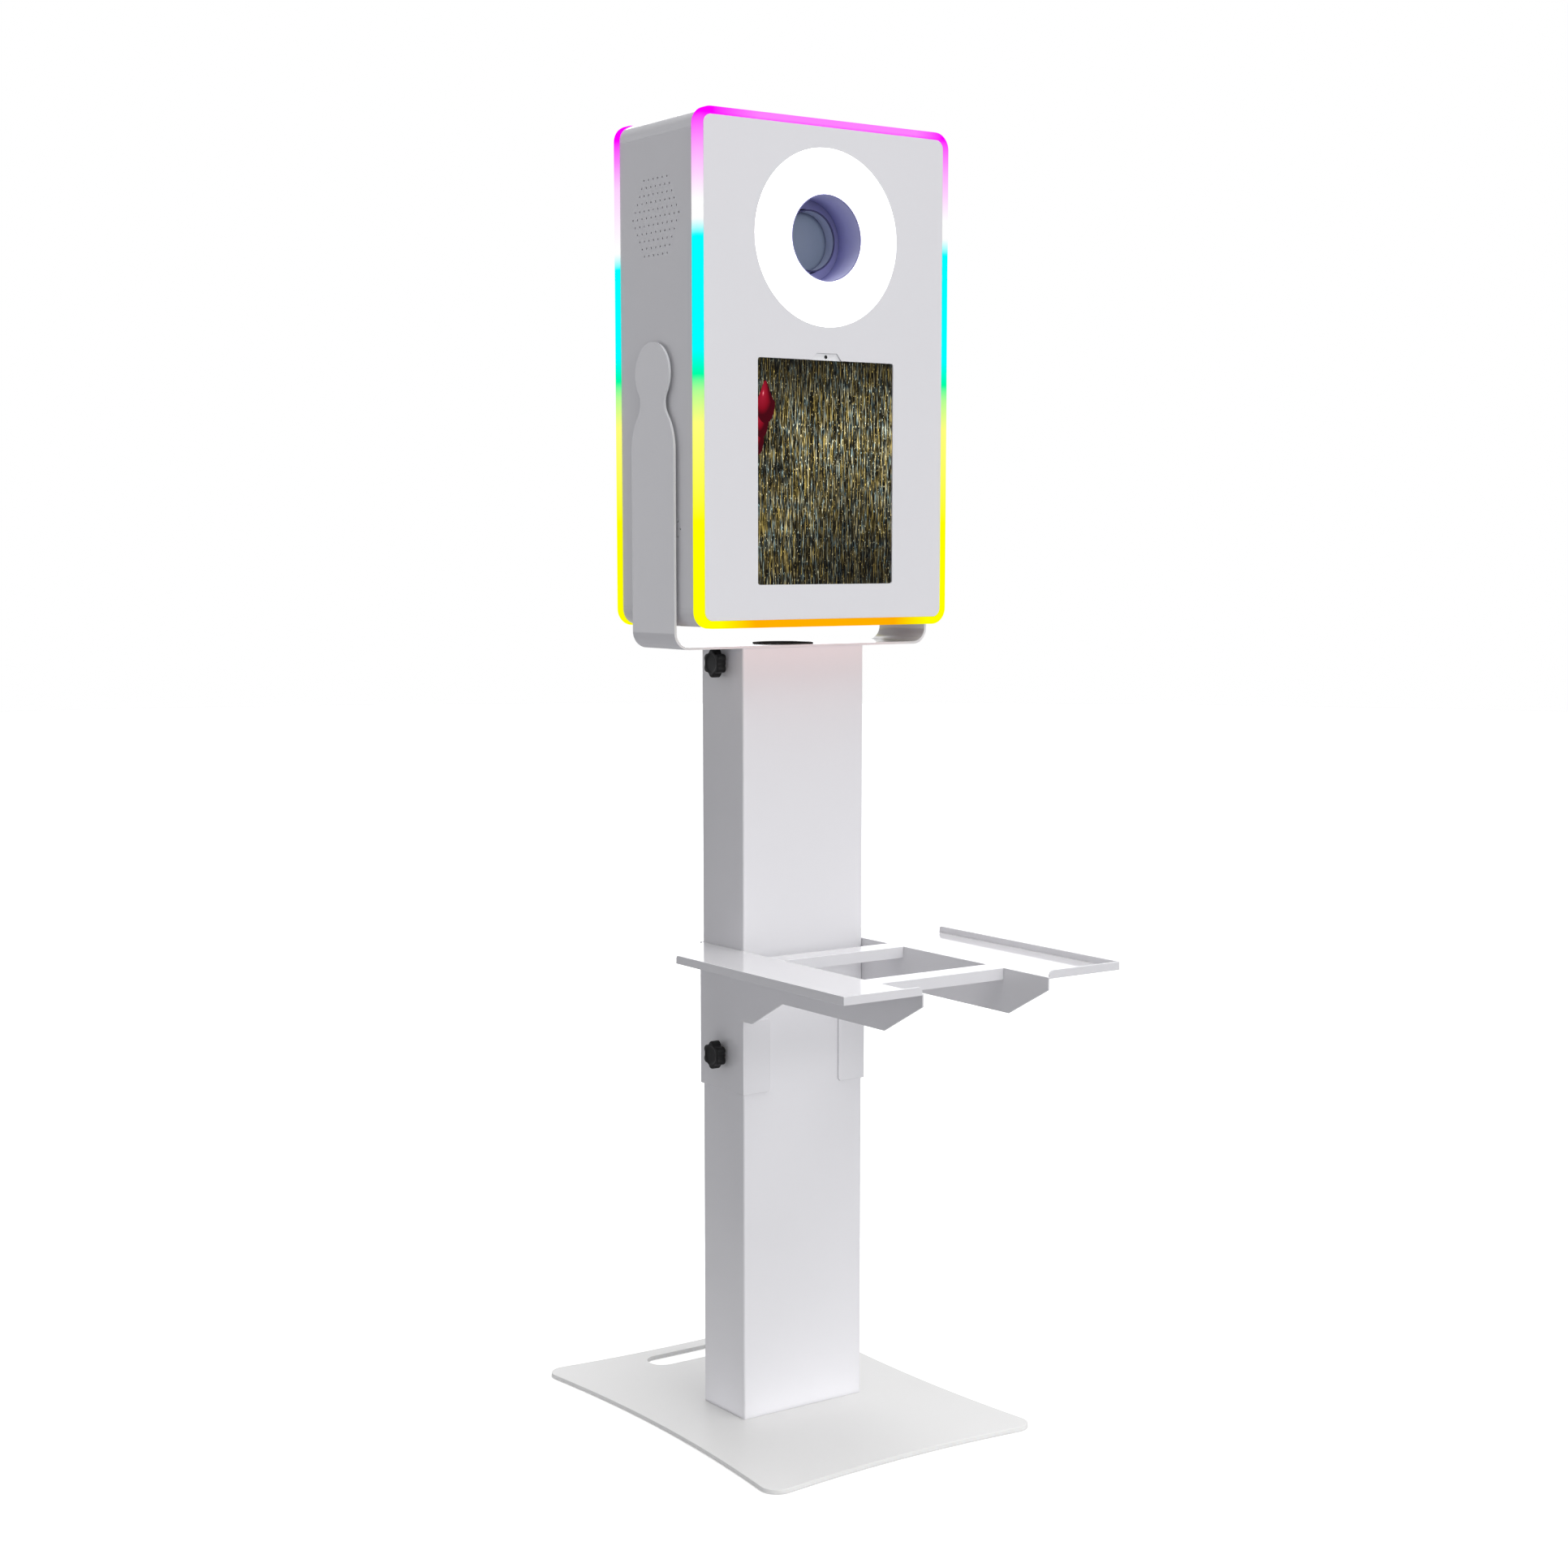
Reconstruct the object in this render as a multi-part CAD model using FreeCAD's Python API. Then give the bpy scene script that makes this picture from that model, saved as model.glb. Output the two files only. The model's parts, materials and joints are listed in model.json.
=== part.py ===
import FreeCAD, Part
import math
import os

# Free-standing photo booth: a tilting head with a camera, a ring light and a tablet, held in a
# yoke on a telescoping column, with a printer tray clamped to the column and a steel base plate.
# Millimetres. X points to the viewer's right, Y to the back, Z up. The origin is on the floor,
# under the middle of the column. The front of the booth faces -Y.

V = FreeCAD.Vector
X_AXIS = V(1, 0, 0)
Y_AXIS = V(0, 1, 0)
Z_AXIS = V(0, 0, 1)

# ---- Base plate ----
PAD_T = 1.0
PAD_R = 14.0
BASE_T = 5.0
BASE_HALF_W = 202.0          # to the corner, before rounding
BASE_HALF_D = 265.5
BASE_SAG_SIDE = 18.0         # how far each long edge curves inwards at its middle
BASE_SAG_END = 13.6
BASE_CORNER_R = 22.0
BASE_EDGE_R = 0.8
PAD_INSET = 34.0             # corner pads, from the plate's corners
SIDE_PAD_INSET = 42.0
HANDLE_L = 140.0
HANDLE_W = 41.0
HANDLE_Y = 208.5
FLOOR_TOP = PAD_T + BASE_T   # upper face of the base plate

# ---- Column and mast ----
COL_W = 180.0
COL_D = 90.0
COL_T = 2.0
COL_R = 2.5
COL_TOP = 964.0
FOOT_T = 6.0
BOLT_X = 60.0
BOLT_Y = 28.0
BOLT_R = 4.0
BOLT_HEAD_R = 7.5
BOLT_HEAD_T = 2.6
BOLT_SLACK = 0.2             # around each bolt in the base plate
EXIT_Z = 60.0
EXIT_R = 11.0
EXIT_WALL = 3.5              # rubber between the cable and the column
EXIT_COLLAR = 3.0
EXIT_COLLAR_T = 2.0
EXIT_LIP = 1.5               # how far the grommet reaches inside the column
MAST_W = 170.0
MAST_D = 80.0
MAST_T = 2.0
MAST_BOTTOM = 524.0
GUIDE_H = 60.0
GUIDE_SET = 2.0              # the guide's top edge, below the column's
SLIDE_GAP = 0.3
TOP_PLATE_T = 4.0

# ---- Yoke ----
YOKE_T = 3.0
YOKE_HALF_D = 46.5
YOKE_OUT = 188.0             # outer face of each arm
YOKE_BEND_R = 20.0           # outside radius of the bends
CABLE_HOLE_R = 36.0
GROMMET_WALL = 5.0
GROMMET_COLLAR = 1.5
GROMMET_COLLAR_T = 1.2
YOKE_SCREW_X = 62.0
YOKE_SCREW_Y = 26.0
YOKE_SCREW_R = 3.0
YOKE_SCREW_FLARE = 3.0       # how much wider the flush, cone-shaped head is
YOKE_SCREW_TIP = 2.0         # its end, below the mast's top plate
PIVOT_Z = 1286.5
EYE_R = 37.0                 # round end of the arm
NECK_HALF = 26.0
NECK_R = 21.0                # concave curve at the neck
SHOULDER_R = 63.0            # convex curve from the neck to the full width
STUD_R = 8.0
STUD_REACH = 18.0            # length of the stud inside the head
PIVOT_PLATE_T = 4.0
PIVOT_PLATE_HALF = 32.0
PIVOT_PLATE_R = 6.0
WASHER_R = 22.0
NUT_R = 13.0                 # to the corners
NUT_T = 8.0
NUT_GAP = 0.6                # between the nut and the pivot plate, which turns past it
RUN_GAP = 0.05

# ---- Head ----
HEAD_W = 366.0
HEAD_H = 593.0
HEAD_D = 182.0
HEAD_R = 20.0
LIGHT_T = 12.0               # depth of each edge light frame
LIGHT_B = 8.9                # its width around the panel
LIGHT_EDGE_R = 1.6
SHELL_IN = 1.5               # the sheet shell sits this far inside the light frames
SHELL_T = 1.5
SHELL_SPLIT = 23.0           # height of the corner parts of the top and bottom covers
FLANGE_W = 15.0
FLANGE_T = 2.0
RAIL_BELOW = 9.0             # the rail between the door and the connector panel, from the sill
RAIL_ABOVE = 11.0
GROOVE_D = 5.0               # the groove in each light frame that holds the LED strip
GROOVE_W = 4.5
LED_STRIP_T = 1.5
LED_STRIP_W = 3.5
PANEL_T = 2.0
PANEL_EDGE_R = 0.7
PANEL_GAP = 0.2
PANEL_R = LIGHT_B + 1.9
RETURN_T = 1.5
VENT_R = 1.25
VENT_PITCH = 10.0
VENT_ROW = 8.72
VENT_HALF_ROWS = 5
VENT_OFF = 181.0             # vents stand this far above and below the pivot

# ---- Camera, ring light and lens tunnel ----
LENS_Z = 1446.7
RING_R = 103.0
RING_HOLE_R = 50.8
RING_FACE_T = 3.0
RING_LIP = 2.5               # edge of the diffuser behind the panel
RING_EDGE_R = 0.6
RING_TRAY_T = 1.5
RING_TRAY_R = 108.0
BOARD_T = 1.6
BEAD_T = 0.8
BEAD_HALF = 1.4
BEAD_RINGS = ((64.0, 30), (77.0, 36), (90.0, 42))   # radius and number of LEDs in each ring
TUNNEL_R = 49.2
TUNNEL_DEPTH = 46.0
TUNNEL_SET = 0.4
TUNNEL_REAR_T = 1.6
TUNNEL_SLACK = 0.2
LENS_R = 36.5
LENS_FRONT_Y = -57.0
LENS_HOOD = 19.0
LENS_WALL = 2.0
LENS_STEP = 5.0              # the lens is this much thinner behind its barrel
BARREL_SHARE = 0.62          # of the lens's length
GLASS_T = 5.0
GLASS_DOME_R = 300.0
CAMERA_W = 132.0
CAMERA_H = 98.0
CAMERA_D = 62.0
CAMERA_FRONT = 0.0
CAMERA_X0 = -60.0
CAMERA_R = 9.0
HUMP_HALF = 30.0             # the finder's hump, at its foot and at its top
HUMP_TOP_HALF = 20.0
HUMP_H = 24.0
HUMP_SET = 12.0
GRIP_X = (-68.0, -36.0)
GRIP_Y = (-16.0, 30.0)
GRIP_INSET = 2.0
GRIP_R = 8.0
CAMERA_TOP_STEP = 14.0       # from the body's top to the full height
SHELF_T = 2.5
SHELF_Y = (-8.0, 66.0)
SHELF_EAR = 22.0

# ---- Tablet ----
SCREEN_W = 198.5
SCREEN_H = 264.0
SCREEN_Z = 1172.4
NOTCH_BASE = 21.6
NOTCH_TOP = 15.0
NOTCH_H = 8.2
TABLET_W = 215.0
TABLET_H = 281.0
TABLET_T = 6.4
TABLET_R = 16.0
TABLET_BACK_R = 1.5
SCREEN_R = 3.0
SCREEN_T = 0.8
EYE_HOLE_R = 1.7
EYE_HOLE_D = 1.0
CLIP_T = 1.5
CLIP_WALL = 2.0
CLIP_REACH = 12.0
CLIP_HALF = 15.0
CLIP_SLACK = 0.3
CLIP_HEIGHTS = (-90.0, 90.0)

# ---- Electrics in the bottom of the head ----
SUPPLY_X = (-150.0, 9.0)
SUPPLY_Y = (-40.0, 58.0)
SUPPLY_H = 42.0
SUPPLY_EDGE_R = 1.5
SUPPLY_SLOTS = 10
SUPPLY_SLOT_X = -130.0
SUPPLY_SLOT_PITCH = 12.0
SUPPLY_SLOT_W = 5.0
SUPPLY_SLOT_Y = (-20.0, 40.0)
SUPPLY_SLOT_D = 1.5
CONTROLLER_X = (40.0, 130.0)
CONTROLLER_HALF_D = 30.0
CONTROLLER_H = 24.0
CONTROLLER_R = 2.0

# ---- Rear door and connector panel ----
SILL_TOP = 1079.0
DOOR_GAP = 1.5
HINGE_X = 172.0
HINGE_R = 2.5
HINGE_PIN_R = 1.2
HINGE_Z0 = 1126.0
KNUCKLE_H = 80.0
KNUCKLES = 5
KNUCKLE_GAP = 0.6
HINGE_LEAF_T = 1.2
HINGE_LEAF_W = 22.0
HINGE_EDGE = 0.8             # from the pin's axis to the fixed leaf
KNUCKLE_ROOM = 2.7           # from the pin's axis to the moving leaf's edge
DOOR_R = 8.0
DOOR_EDGE = 1.4              # from the pin's axis to the door's edge
DOOR_TOP_GAP = 0.8
LOCK_X = -150.0
LOCK_BARREL_R = 9.0
LOCK_RIM_R = 11.5
LOCK_RIM_T = 2.4
LOCK_RIM_EDGE_R = 1.0
LOCK_PLUG_R = 6.0
LOCK_PLUG_PROUD = 2.8
KEY_SLOT_HALF_W = 0.7
KEY_SLOT_HALF_H = 3.6
KEY_SLOT_D = 6.8
CAM_CLEAR = 4.0              # from the rear frame's flange to the cam's front
CAM_T = 2.5
CAM_HALF_W = 7.0
CAM_REACH = 26.0
CAM_R = 5.0
INLET_X = 100.0
INLET_HALF_W = 14.0
INLET_HALF_H = 10.0
INLET_D = 28.0
INLET_FLANGE = (25.0, 12.0, 2.0, 4.0)     # half width, half height, thickness, corner radius
INLET_WELL = (12.0, 8.0, 15.0, 3.0)       # half width, half height, depth, corner radius
PIN_PLACES = ((-7.0, -1.0), (0.0, 2.0), (7.0, -1.0))
PIN_HALF_W = 1.0
PIN_HALF_H = 2.0
PIN_TIP = 5.0                # from the inlet's face to the pins' tips
SWITCH_X = 40.0
SWITCH_HALF_W = 10.0
SWITCH_HALF_H = 13.0
SWITCH_D = 22.0
SWITCH_FLANGE = (12.5, 15.5, 1.6, 2.0)    # half width, half height, thickness, corner radius
SWITCH_WELL_HALF_H = 11.5
SWITCH_WELL_D = 18.0
SWITCH_SIDE_GAP = 0.4
SOCKET_Z = 1039.0
ROCKER_TILT = 8.0
ROCKER_SET = 3.0             # from the head's back face to the rocker's axis
ROCKER_W = 15.0
ROCKER_HALF_H = 10.0
ROCKER_FRONT = 5.0
ROCKER_CREST = 6.0
ROCKER_DIP = 4.6
ROCKER_TAPER = 2.0
ROCKER_PIN_R = 1.5
ROCKER_PIN_L = 18.4
ROCKER_BORE_L = 19.0

# ---- Tray ----
TRAY_T = 2.0
TRAY_GAP = 0.3               # between the bracket and the column
TRAY_HALF_W = 200.0
TRAY_TOP = 597.0
TRAY_LIP = 605.0
TRAY_FRONT = -399.0
TRAY_BACK_CORNER = -65.0     # where the outer lip ends and the shelf's back edge turns in
BRACKET_LOW = 418.5
FLANGE_TOP = 510.0
FLANGE_LIP = 40.0
GUSSET_RISE_Y = -66.0
GUSSET_LEVEL_Y = -130.5
GUSSET_LEVEL_Z = 544.5
GUSSET_CHAMFER_Y = -329.5
GUSSET_NOSE_Z = 582.0
BAR_FRONTS = (-129.5, -320.0)   # front faces of the two crossbars
BAR_W = 31.0
BAR_H = 14.0
SIDE_LIP_R = 4.0             # rounded ends of the lips and of the bracket's front flanges
FRONT_LIP_R = 6.0
FLANGE_R = 5.0

# ---- Star knobs ----
KNOB_R = 17.4
KNOB_T = 12.0
KNOB_LOBES = 6
VALLEY_R = 5.5
VALLEY_AT = 20.0
KNOB_EDGE_R = 1.2
KNOB_BOSS = 4.0
KNOB_BOSS_R = 8.0
KNOB_STUD_R = 4.0
KNOB_HOLE_R = 4.6            # in the column and in the tray's bracket
KNOB_GAP = 0.5               # between the grip and its boss
KNOB_DISH_R = 10.8
KNOB_DISH_D = 1.0
KNOB_GRIP_SHARE = 0.7        # of the grip's thickness that the stud fills
UPPER_KNOB_Z = 945.0
LOWER_KNOB_Z = 462.8

# ---- Worked out from the sizes above ----
HEAD_LOW = PIVOT_Z - HEAD_H / 2
HEAD_TOP = PIVOT_Z + HEAD_H / 2
HEAD_FRONT = -HEAD_D / 2
HEAD_BACK = HEAD_D / 2
SHELL_FRONT = HEAD_FRONT + LIGHT_T
SHELL_BACK = HEAD_BACK - LIGHT_T
SHELL_W = HEAD_W - 2 * SHELL_IN
SHELL_H = HEAD_H - 2 * SHELL_IN
SHELL_R = HEAD_R - SHELL_IN
INNER_W = SHELL_W - 2 * SHELL_T
INNER_H = SHELL_H - 2 * SHELL_T
INNER_R = SHELL_R - SHELL_T
INNER_X = INNER_W / 2
INNER_LOW = PIVOT_Z - INNER_H / 2
PANEL_W = HEAD_W - 2 * LIGHT_B - 2 * PANEL_GAP
PANEL_H = HEAD_H - 2 * LIGHT_B - 2 * PANEL_GAP
COL_X = COL_W / 2
COL_Y = COL_D / 2
BRACKET_IN = COL_X + TRAY_GAP
BRACKET_OUT = BRACKET_IN + TRAY_T
BRACKET_FRONT = -(COL_Y + TRAY_GAP + TRAY_T)
BRACKET_BACK = COL_Y + TRAY_GAP + TRAY_T
RING_TRAY_BACK = SHELL_FRONT + FLANGE_T
CAMERA_LOW = LENS_Z - 50.0
TABLET_FRONT = HEAD_FRONT + PANEL_T + 0.2
ROCKER_Y = HEAD_BACK - ROCKER_SET
DOOR_HALF_W = HINGE_X - DOOR_EDGE
DOOR_LOW = SILL_TOP + DOOR_GAP
DOOR_TOP = PIVOT_Z + PANEL_H / 2 - DOOR_TOP_GAP
DOOR_Z = (DOOR_LOW + DOOR_TOP) / 2
DOOR_H = DOOR_TOP - DOOR_LOW
HINGE_Y = HEAD_BACK + HINGE_R
LOCK_BARREL_BACK = SHELL_BACK - 1.5


# ---- Shapes used all over ----

def block(x0, x1, y0, y1, z0, z1):
    """A box between two corners."""
    return Part.makeBox(x1 - x0, y1 - y0, z1 - z0, V(x0, y0, z0))


def rod(x, y, z, axis, radius, length):
    """A cylinder that starts at a point and runs along an axis."""
    return Part.makeCylinder(radius, length, V(x, y, z), axis)


def tube(x, y, z, axis, outer, inner, length):
    return rod(x, y, z, axis, outer, length).cut(rod(x, y, z, axis, inner, length))


def join(shapes):
    """Fuse touching shapes into one clean solid."""
    first = shapes[0]
    return first.fuse(shapes[1:]).removeSplitter() if len(shapes) > 1 else first


def edges_along(shape, axis):
    """Straight edges parallel to an axis."""
    found = []
    for edge in shape.Edges:
        if isinstance(edge.Curve, Part.Line):
            if abs(edge.tangentAt(edge.FirstParameter).dot(axis)) > 0.999:
                found.append(edge)
    return found


def edges_at(shape, axis, value, tolerance=0.01):
    """Edges that lie wholly in the plane axis = value."""
    found = []
    for edge in shape.Edges:
        box = edge.BoundBox
        low = V(box.XMin, box.YMin, box.ZMin).dot(axis)
        high = V(box.XMax, box.YMax, box.ZMax).dot(axis)
        if abs(low - value) < tolerance and abs(high - value) < tolerance:
            found.append(edge)
    return found


def rounded(shape, axis, radius):
    return shape.makeFillet(radius, edges_along(shape, axis))


def slab(width, height, radius, y0, y1, z_mid):
    """A rounded rectangle that faces the front, centred on X."""
    box = block(-width / 2, width / 2, y0, y1, z_mid - height / 2, z_mid + height / 2)
    return rounded(box, Y_AXIS, radius)


def rect_tube(width, depth, wall, corner, z0, z1):
    """An upright rectangular tube around the Z axis."""
    outer = rounded(block(-width / 2, width / 2, -depth / 2, depth / 2, z0, z1), Z_AXIS, corner)
    half_w = width / 2 - wall
    half_d = depth / 2 - wall
    return outer.cut(block(-half_w, half_w, -half_d, half_d, z0, z1))


def prism_x(points, x0, x1):
    """A flat outline of (y, z) points, extruded from x0 to x1."""
    corners = [V(x0, y, z) for y, z in points]
    return Part.Face(Part.makePolygon(corners + corners[:1])).extrude(V(x1 - x0, 0, 0))


def prism_y(points, y0, y1):
    """A flat outline of (x, z) points, extruded from y0 to y1."""
    corners = [V(x, y0, z) for x, z in points]
    return Part.Face(Part.makePolygon(corners + corners[:1])).extrude(V(0, y1 - y0, 0))


def prism_z(points, z0, z1):
    """A flat outline of (x, y) points, extruded from z0 to z1."""
    corners = [V(x, y, z0) for x, y in points]
    return Part.Face(Part.makePolygon(corners + corners[:1])).extrude(V(0, 0, z1 - z0))


def arc(start, through, end):
    return Part.Arc(start, through, end).toShape()


def line(start, end):
    return Part.LineSegment(start, end).toShape()


def mirrored(shape):
    """The same shape on the other side of the YZ plane."""
    return shape.mirror(V(0, 0, 0), X_AXIS)


def save(name, shapes):
    """Write one node, as one solid or as a group of separate solids."""
    solids = []
    for shape in shapes if isinstance(shapes, list) else [shapes]:
        solids.extend(shape.Solids)
    for solid in solids:
        if not solid.isValid() or solid.Volume <= 0:
            raise ValueError("bad solid in " + name)
    whole = solids[0] if len(solids) == 1 else Part.makeCompound(solids)
    whole.exportStep("parts/" + name + ".step")
    print(name, len(solids), "solid(s)", round(sum(s.Volume for s in solids)), "mm3")


# ---- Base ----

def base_plate():
    w, d = BASE_HALF_W, BASE_HALF_D
    corner = [V(-w, -d, PAD_T), V(w, -d, PAD_T), V(w, d, PAD_T), V(-w, d, PAD_T)]
    middle = [V(0, BASE_SAG_END - d, PAD_T), V(w - BASE_SAG_SIDE, 0, PAD_T),
              V(0, d - BASE_SAG_END, PAD_T), V(BASE_SAG_SIDE - w, 0, PAD_T)]
    sides = [arc(corner[i], middle[i], corner[(i + 1) % 4]) for i in range(4)]
    plate = Part.Face(Part.Wire(sides)).extrude(V(0, 0, BASE_T))
    plate = rounded(plate, Z_AXIS, BASE_CORNER_R)
    plate = plate.makeFillet(BASE_EDGE_R, edges_at(plate, Z_AXIS, FLOOR_TOP))
    half_l, half_w = HANDLE_L / 2, HANDLE_W / 2
    slot = block(-half_l, half_l, HANDLE_Y - half_w, HANDLE_Y + half_w, 0, FLOOR_TOP + 1)
    plate = plate.cut(rounded(slot, Z_AXIS, half_w - 0.5))
    for x, y in bolt_places():
        plate = plate.cut(rod(x, y, 0, Z_AXIS, BOLT_R + BOLT_SLACK, FLOOR_TOP + 1))
        plate = plate.cut(rod(x, y, 0, Z_AXIS, BOLT_HEAD_R + 0.3, PAD_T + BOLT_HEAD_T + BOLT_SLACK))
    return plate


def bolt_places():
    return [(sx * BOLT_X, sy * BOLT_Y) for sx in (-1, 1) for sy in (-1, 1)]


def base_pads():
    """Flat rubber discs: one near each corner, one at each side and one in the middle."""
    x, y = BASE_HALF_W - PAD_INSET, BASE_HALF_D - PAD_INSET
    side = BASE_HALF_W - SIDE_PAD_INSET
    places = [(-x, -y), (x, -y), (x, y), (-x, y), (-side, 0), (side, 0), (0, 0)]
    return [rod(x, y, 0, Z_AXIS, PAD_R, PAD_T) for x, y in places]


def column_foot():
    half_w = COL_X - COL_T
    half_d = COL_Y - COL_T
    foot = block(-half_w, half_w, -half_d, half_d, FLOOR_TOP, FLOOR_TOP + FOOT_T)
    for x, y in bolt_places():
        foot = foot.cut(rod(x, y, FLOOR_TOP, Z_AXIS, BOLT_R, FOOT_T))
    return foot


def base_bolts():
    bolts = []
    for x, y in bolt_places():
        head = rod(x, y, PAD_T, Z_AXIS, BOLT_HEAD_R, BOLT_HEAD_T)
        head = head.cut(rod(x, y, PAD_T, Z_AXIS, BOLT_R * 0.6, BOLT_HEAD_T * 0.6))
        shank = rod(x, y, PAD_T + BOLT_HEAD_T, Z_AXIS, BOLT_R, BASE_T + FOOT_T - BOLT_HEAD_T)
        bolts.append(join([head, shank]))
    return bolts


# ---- Column and mast ----

def column():
    post = rect_tube(COL_W, COL_D, COL_T, COL_R, FLOOR_TOP, COL_TOP)
    post = post.cut(rod(-COL_X - 1, 0, UPPER_KNOB_Z, X_AXIS, KNOB_HOLE_R, COL_T + 2))
    return post.cut(rod(0, COL_Y - COL_T - 1, EXIT_Z, Y_AXIS, EXIT_R, COL_T + 2))


def mast_guide():
    """Plastic liner inside the column's mouth, in which the mast slides."""
    wall = (COL_W - MAST_W) / 2 - COL_T - SLIDE_GAP
    top = COL_TOP - GUIDE_SET
    width = COL_W - 2 * COL_T
    depth = COL_D - 2 * COL_T
    outer = block(-width / 2, width / 2, -depth / 2, depth / 2, top - GUIDE_H, top)
    half_w = width / 2 - wall
    half_d = depth / 2 - wall
    liner = outer.cut(block(-half_w, half_w, -half_d, half_d, top - GUIDE_H, top))
    return liner.cut(rod(-COL_X, 0, UPPER_KNOB_Z, X_AXIS, KNOB_HOLE_R, COL_T + wall + 2))


def cable_exit_grommet():
    start = COL_Y - COL_T - EXIT_LIP
    end = COL_Y + EXIT_COLLAR_T
    body = rod(0, start, EXIT_Z, Y_AXIS, EXIT_R, end - start)
    collar = rod(0, COL_Y, EXIT_Z, Y_AXIS, EXIT_R + EXIT_COLLAR, EXIT_COLLAR_T)
    hole = rod(0, start, EXIT_Z, Y_AXIS, EXIT_R - EXIT_WALL, end - start)
    ring = join([body, collar]).cut(hole)
    return ring.makeFillet(0.7, edges_at(ring, Y_AXIS, end))


def mast_tube():
    return rect_tube(MAST_W, MAST_D, MAST_T, COL_R, MAST_BOTTOM, COL_TOP)


def mast_slider():
    """Plastic shoe around the mast's lower end, which slides inside the column."""
    half_w = COL_X - COL_T - SLIDE_GAP
    half_d = COL_Y - COL_T - SLIDE_GAP
    outer = block(-half_w, half_w, -half_d, half_d, MAST_BOTTOM, MAST_BOTTOM + GUIDE_H)
    core = rounded(block(-MAST_W / 2, MAST_W / 2, -MAST_D / 2, MAST_D / 2,
                         MAST_BOTTOM, MAST_BOTTOM + GUIDE_H), Z_AXIS, COL_R)
    return outer.cut(core)


def screw_places():
    return [(sx * YOKE_SCREW_X, sy * YOKE_SCREW_Y) for sx in (-1, 1) for sy in (-1, 1)]


def mast_top_plate():
    half_w = MAST_W / 2 - MAST_T
    half_d = MAST_D / 2 - MAST_T
    plate = block(-half_w, half_w, -half_d, half_d, COL_TOP - TOP_PLATE_T, COL_TOP)
    plate = plate.cut(rod(0, 0, COL_TOP - TOP_PLATE_T, Z_AXIS, CABLE_HOLE_R - GROMMET_WALL, TOP_PLATE_T))
    for x, y in screw_places():
        plate = plate.cut(rod(x, y, COL_TOP - TOP_PLATE_T, Z_AXIS, YOKE_SCREW_R, TOP_PLATE_T))
    return plate


# ---- Yoke ----

def yoke_section():
    """The bent strip seen from the front: two arms and the base, with round bends."""
    x_out, x_in = YOKE_OUT, YOKE_OUT - YOKE_T
    low, high = COL_TOP, COL_TOP + YOKE_T
    top = PIVOT_Z + EYE_R + 1
    r_in = YOKE_BEND_R - YOKE_T
    mid = low + YOKE_BEND_R
    diag = math.sqrt(0.5)
    edges = []
    for side in (-1, 1):
        centre = V(side * (x_out - YOKE_BEND_R), 0, mid)
        for radius, x, z in ((YOKE_BEND_R, x_out, low), (r_in, x_in, high)):
            start = V(side * x, 0, mid)
            end = V(centre.x, 0, z)
            through = centre + V(side * diag * radius, 0, -diag * radius)
            edges.append(line(V(side * x, 0, top), start))
            edges.append(arc(start, through, end))
        edges.append(line(V(side * x_in, 0, top), V(side * x_out, 0, top)))
    foot = x_out - YOKE_BEND_R
    edges.append(line(V(-foot, 0, low), V(foot, 0, low)))
    edges.append(line(V(-foot, 0, high), V(foot, 0, high)))
    return Part.Wire(Part.__sortEdges__(edges))


def arm_outline():
    """The arm seen from the side: a round eye, a neck and a shoulder down to the full width."""
    neck_y = NECK_HALF + NECK_R
    neck_drop = math.sqrt((EYE_R + NECK_R) ** 2 - neck_y ** 2)
    shoulder_y = YOKE_HALF_D - SHOULDER_R
    reach = NECK_R + SHOULDER_R
    shoulder_drop = neck_drop + math.sqrt(reach ** 2 - (neck_y - shoulder_y) ** 2)
    neck = V(0, neck_y, PIVOT_Z - neck_drop)
    shoulder = V(0, shoulder_y, PIVOT_Z - shoulder_drop)
    eye = V(0, 0, PIVOT_Z)
    neck_start = eye + (neck - eye) * (EYE_R / (EYE_R + NECK_R))
    neck_end = neck + (shoulder - neck) * (NECK_R / reach)
    neck_mid = neck - Y_AXIS * NECK_R
    full = V(0, YOKE_HALF_D, shoulder.z)
    along = (neck_end - shoulder).normalize() + Y_AXIS
    shoulder_mid = shoulder + along.normalize() * SHOULDER_R
    low = V(0, YOKE_HALF_D, COL_TOP)

    def flip(point):
        return V(point.x, -point.y, point.z)

    side = [arc(neck_start, neck_mid, neck_end), arc(neck_end, shoulder_mid, full), line(full, low)]
    other = [arc(flip(neck_start), flip(neck_mid), flip(neck_end)),
             arc(flip(neck_end), flip(shoulder_mid), flip(full)), line(flip(full), flip(low))]
    cap = arc(neck_start, eye + Z_AXIS * EYE_R, flip(neck_start))
    return Part.Wire(Part.__sortEdges__(side + other + [cap, line(low, flip(low))]))


def screw_cone(x, y, slack):
    """The cone of a flush screw head, through the yoke's thickness."""
    radius = YOKE_SCREW_R + slack
    return Part.makeCone(radius, radius + YOKE_SCREW_FLARE, YOKE_T, V(x, y, COL_TOP), Z_AXIS)


def yoke():
    strip = Part.Face(yoke_section()).extrude(V(0, 2 * YOKE_HALF_D, 0))
    strip.translate(V(0, -YOKE_HALF_D, 0))
    outline = Part.Face(arm_outline()).extrude(V(2 * YOKE_OUT + 2, 0, 0))
    outline.translate(V(-YOKE_OUT - 1, 0, 0))
    bracket = strip.common(outline)
    bracket = bracket.cut(rod(0, 0, COL_TOP, Z_AXIS, CABLE_HOLE_R, YOKE_T))
    for x, y in screw_places():
        bracket = bracket.cut(screw_cone(x, y, RUN_GAP))
    return bracket


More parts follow.
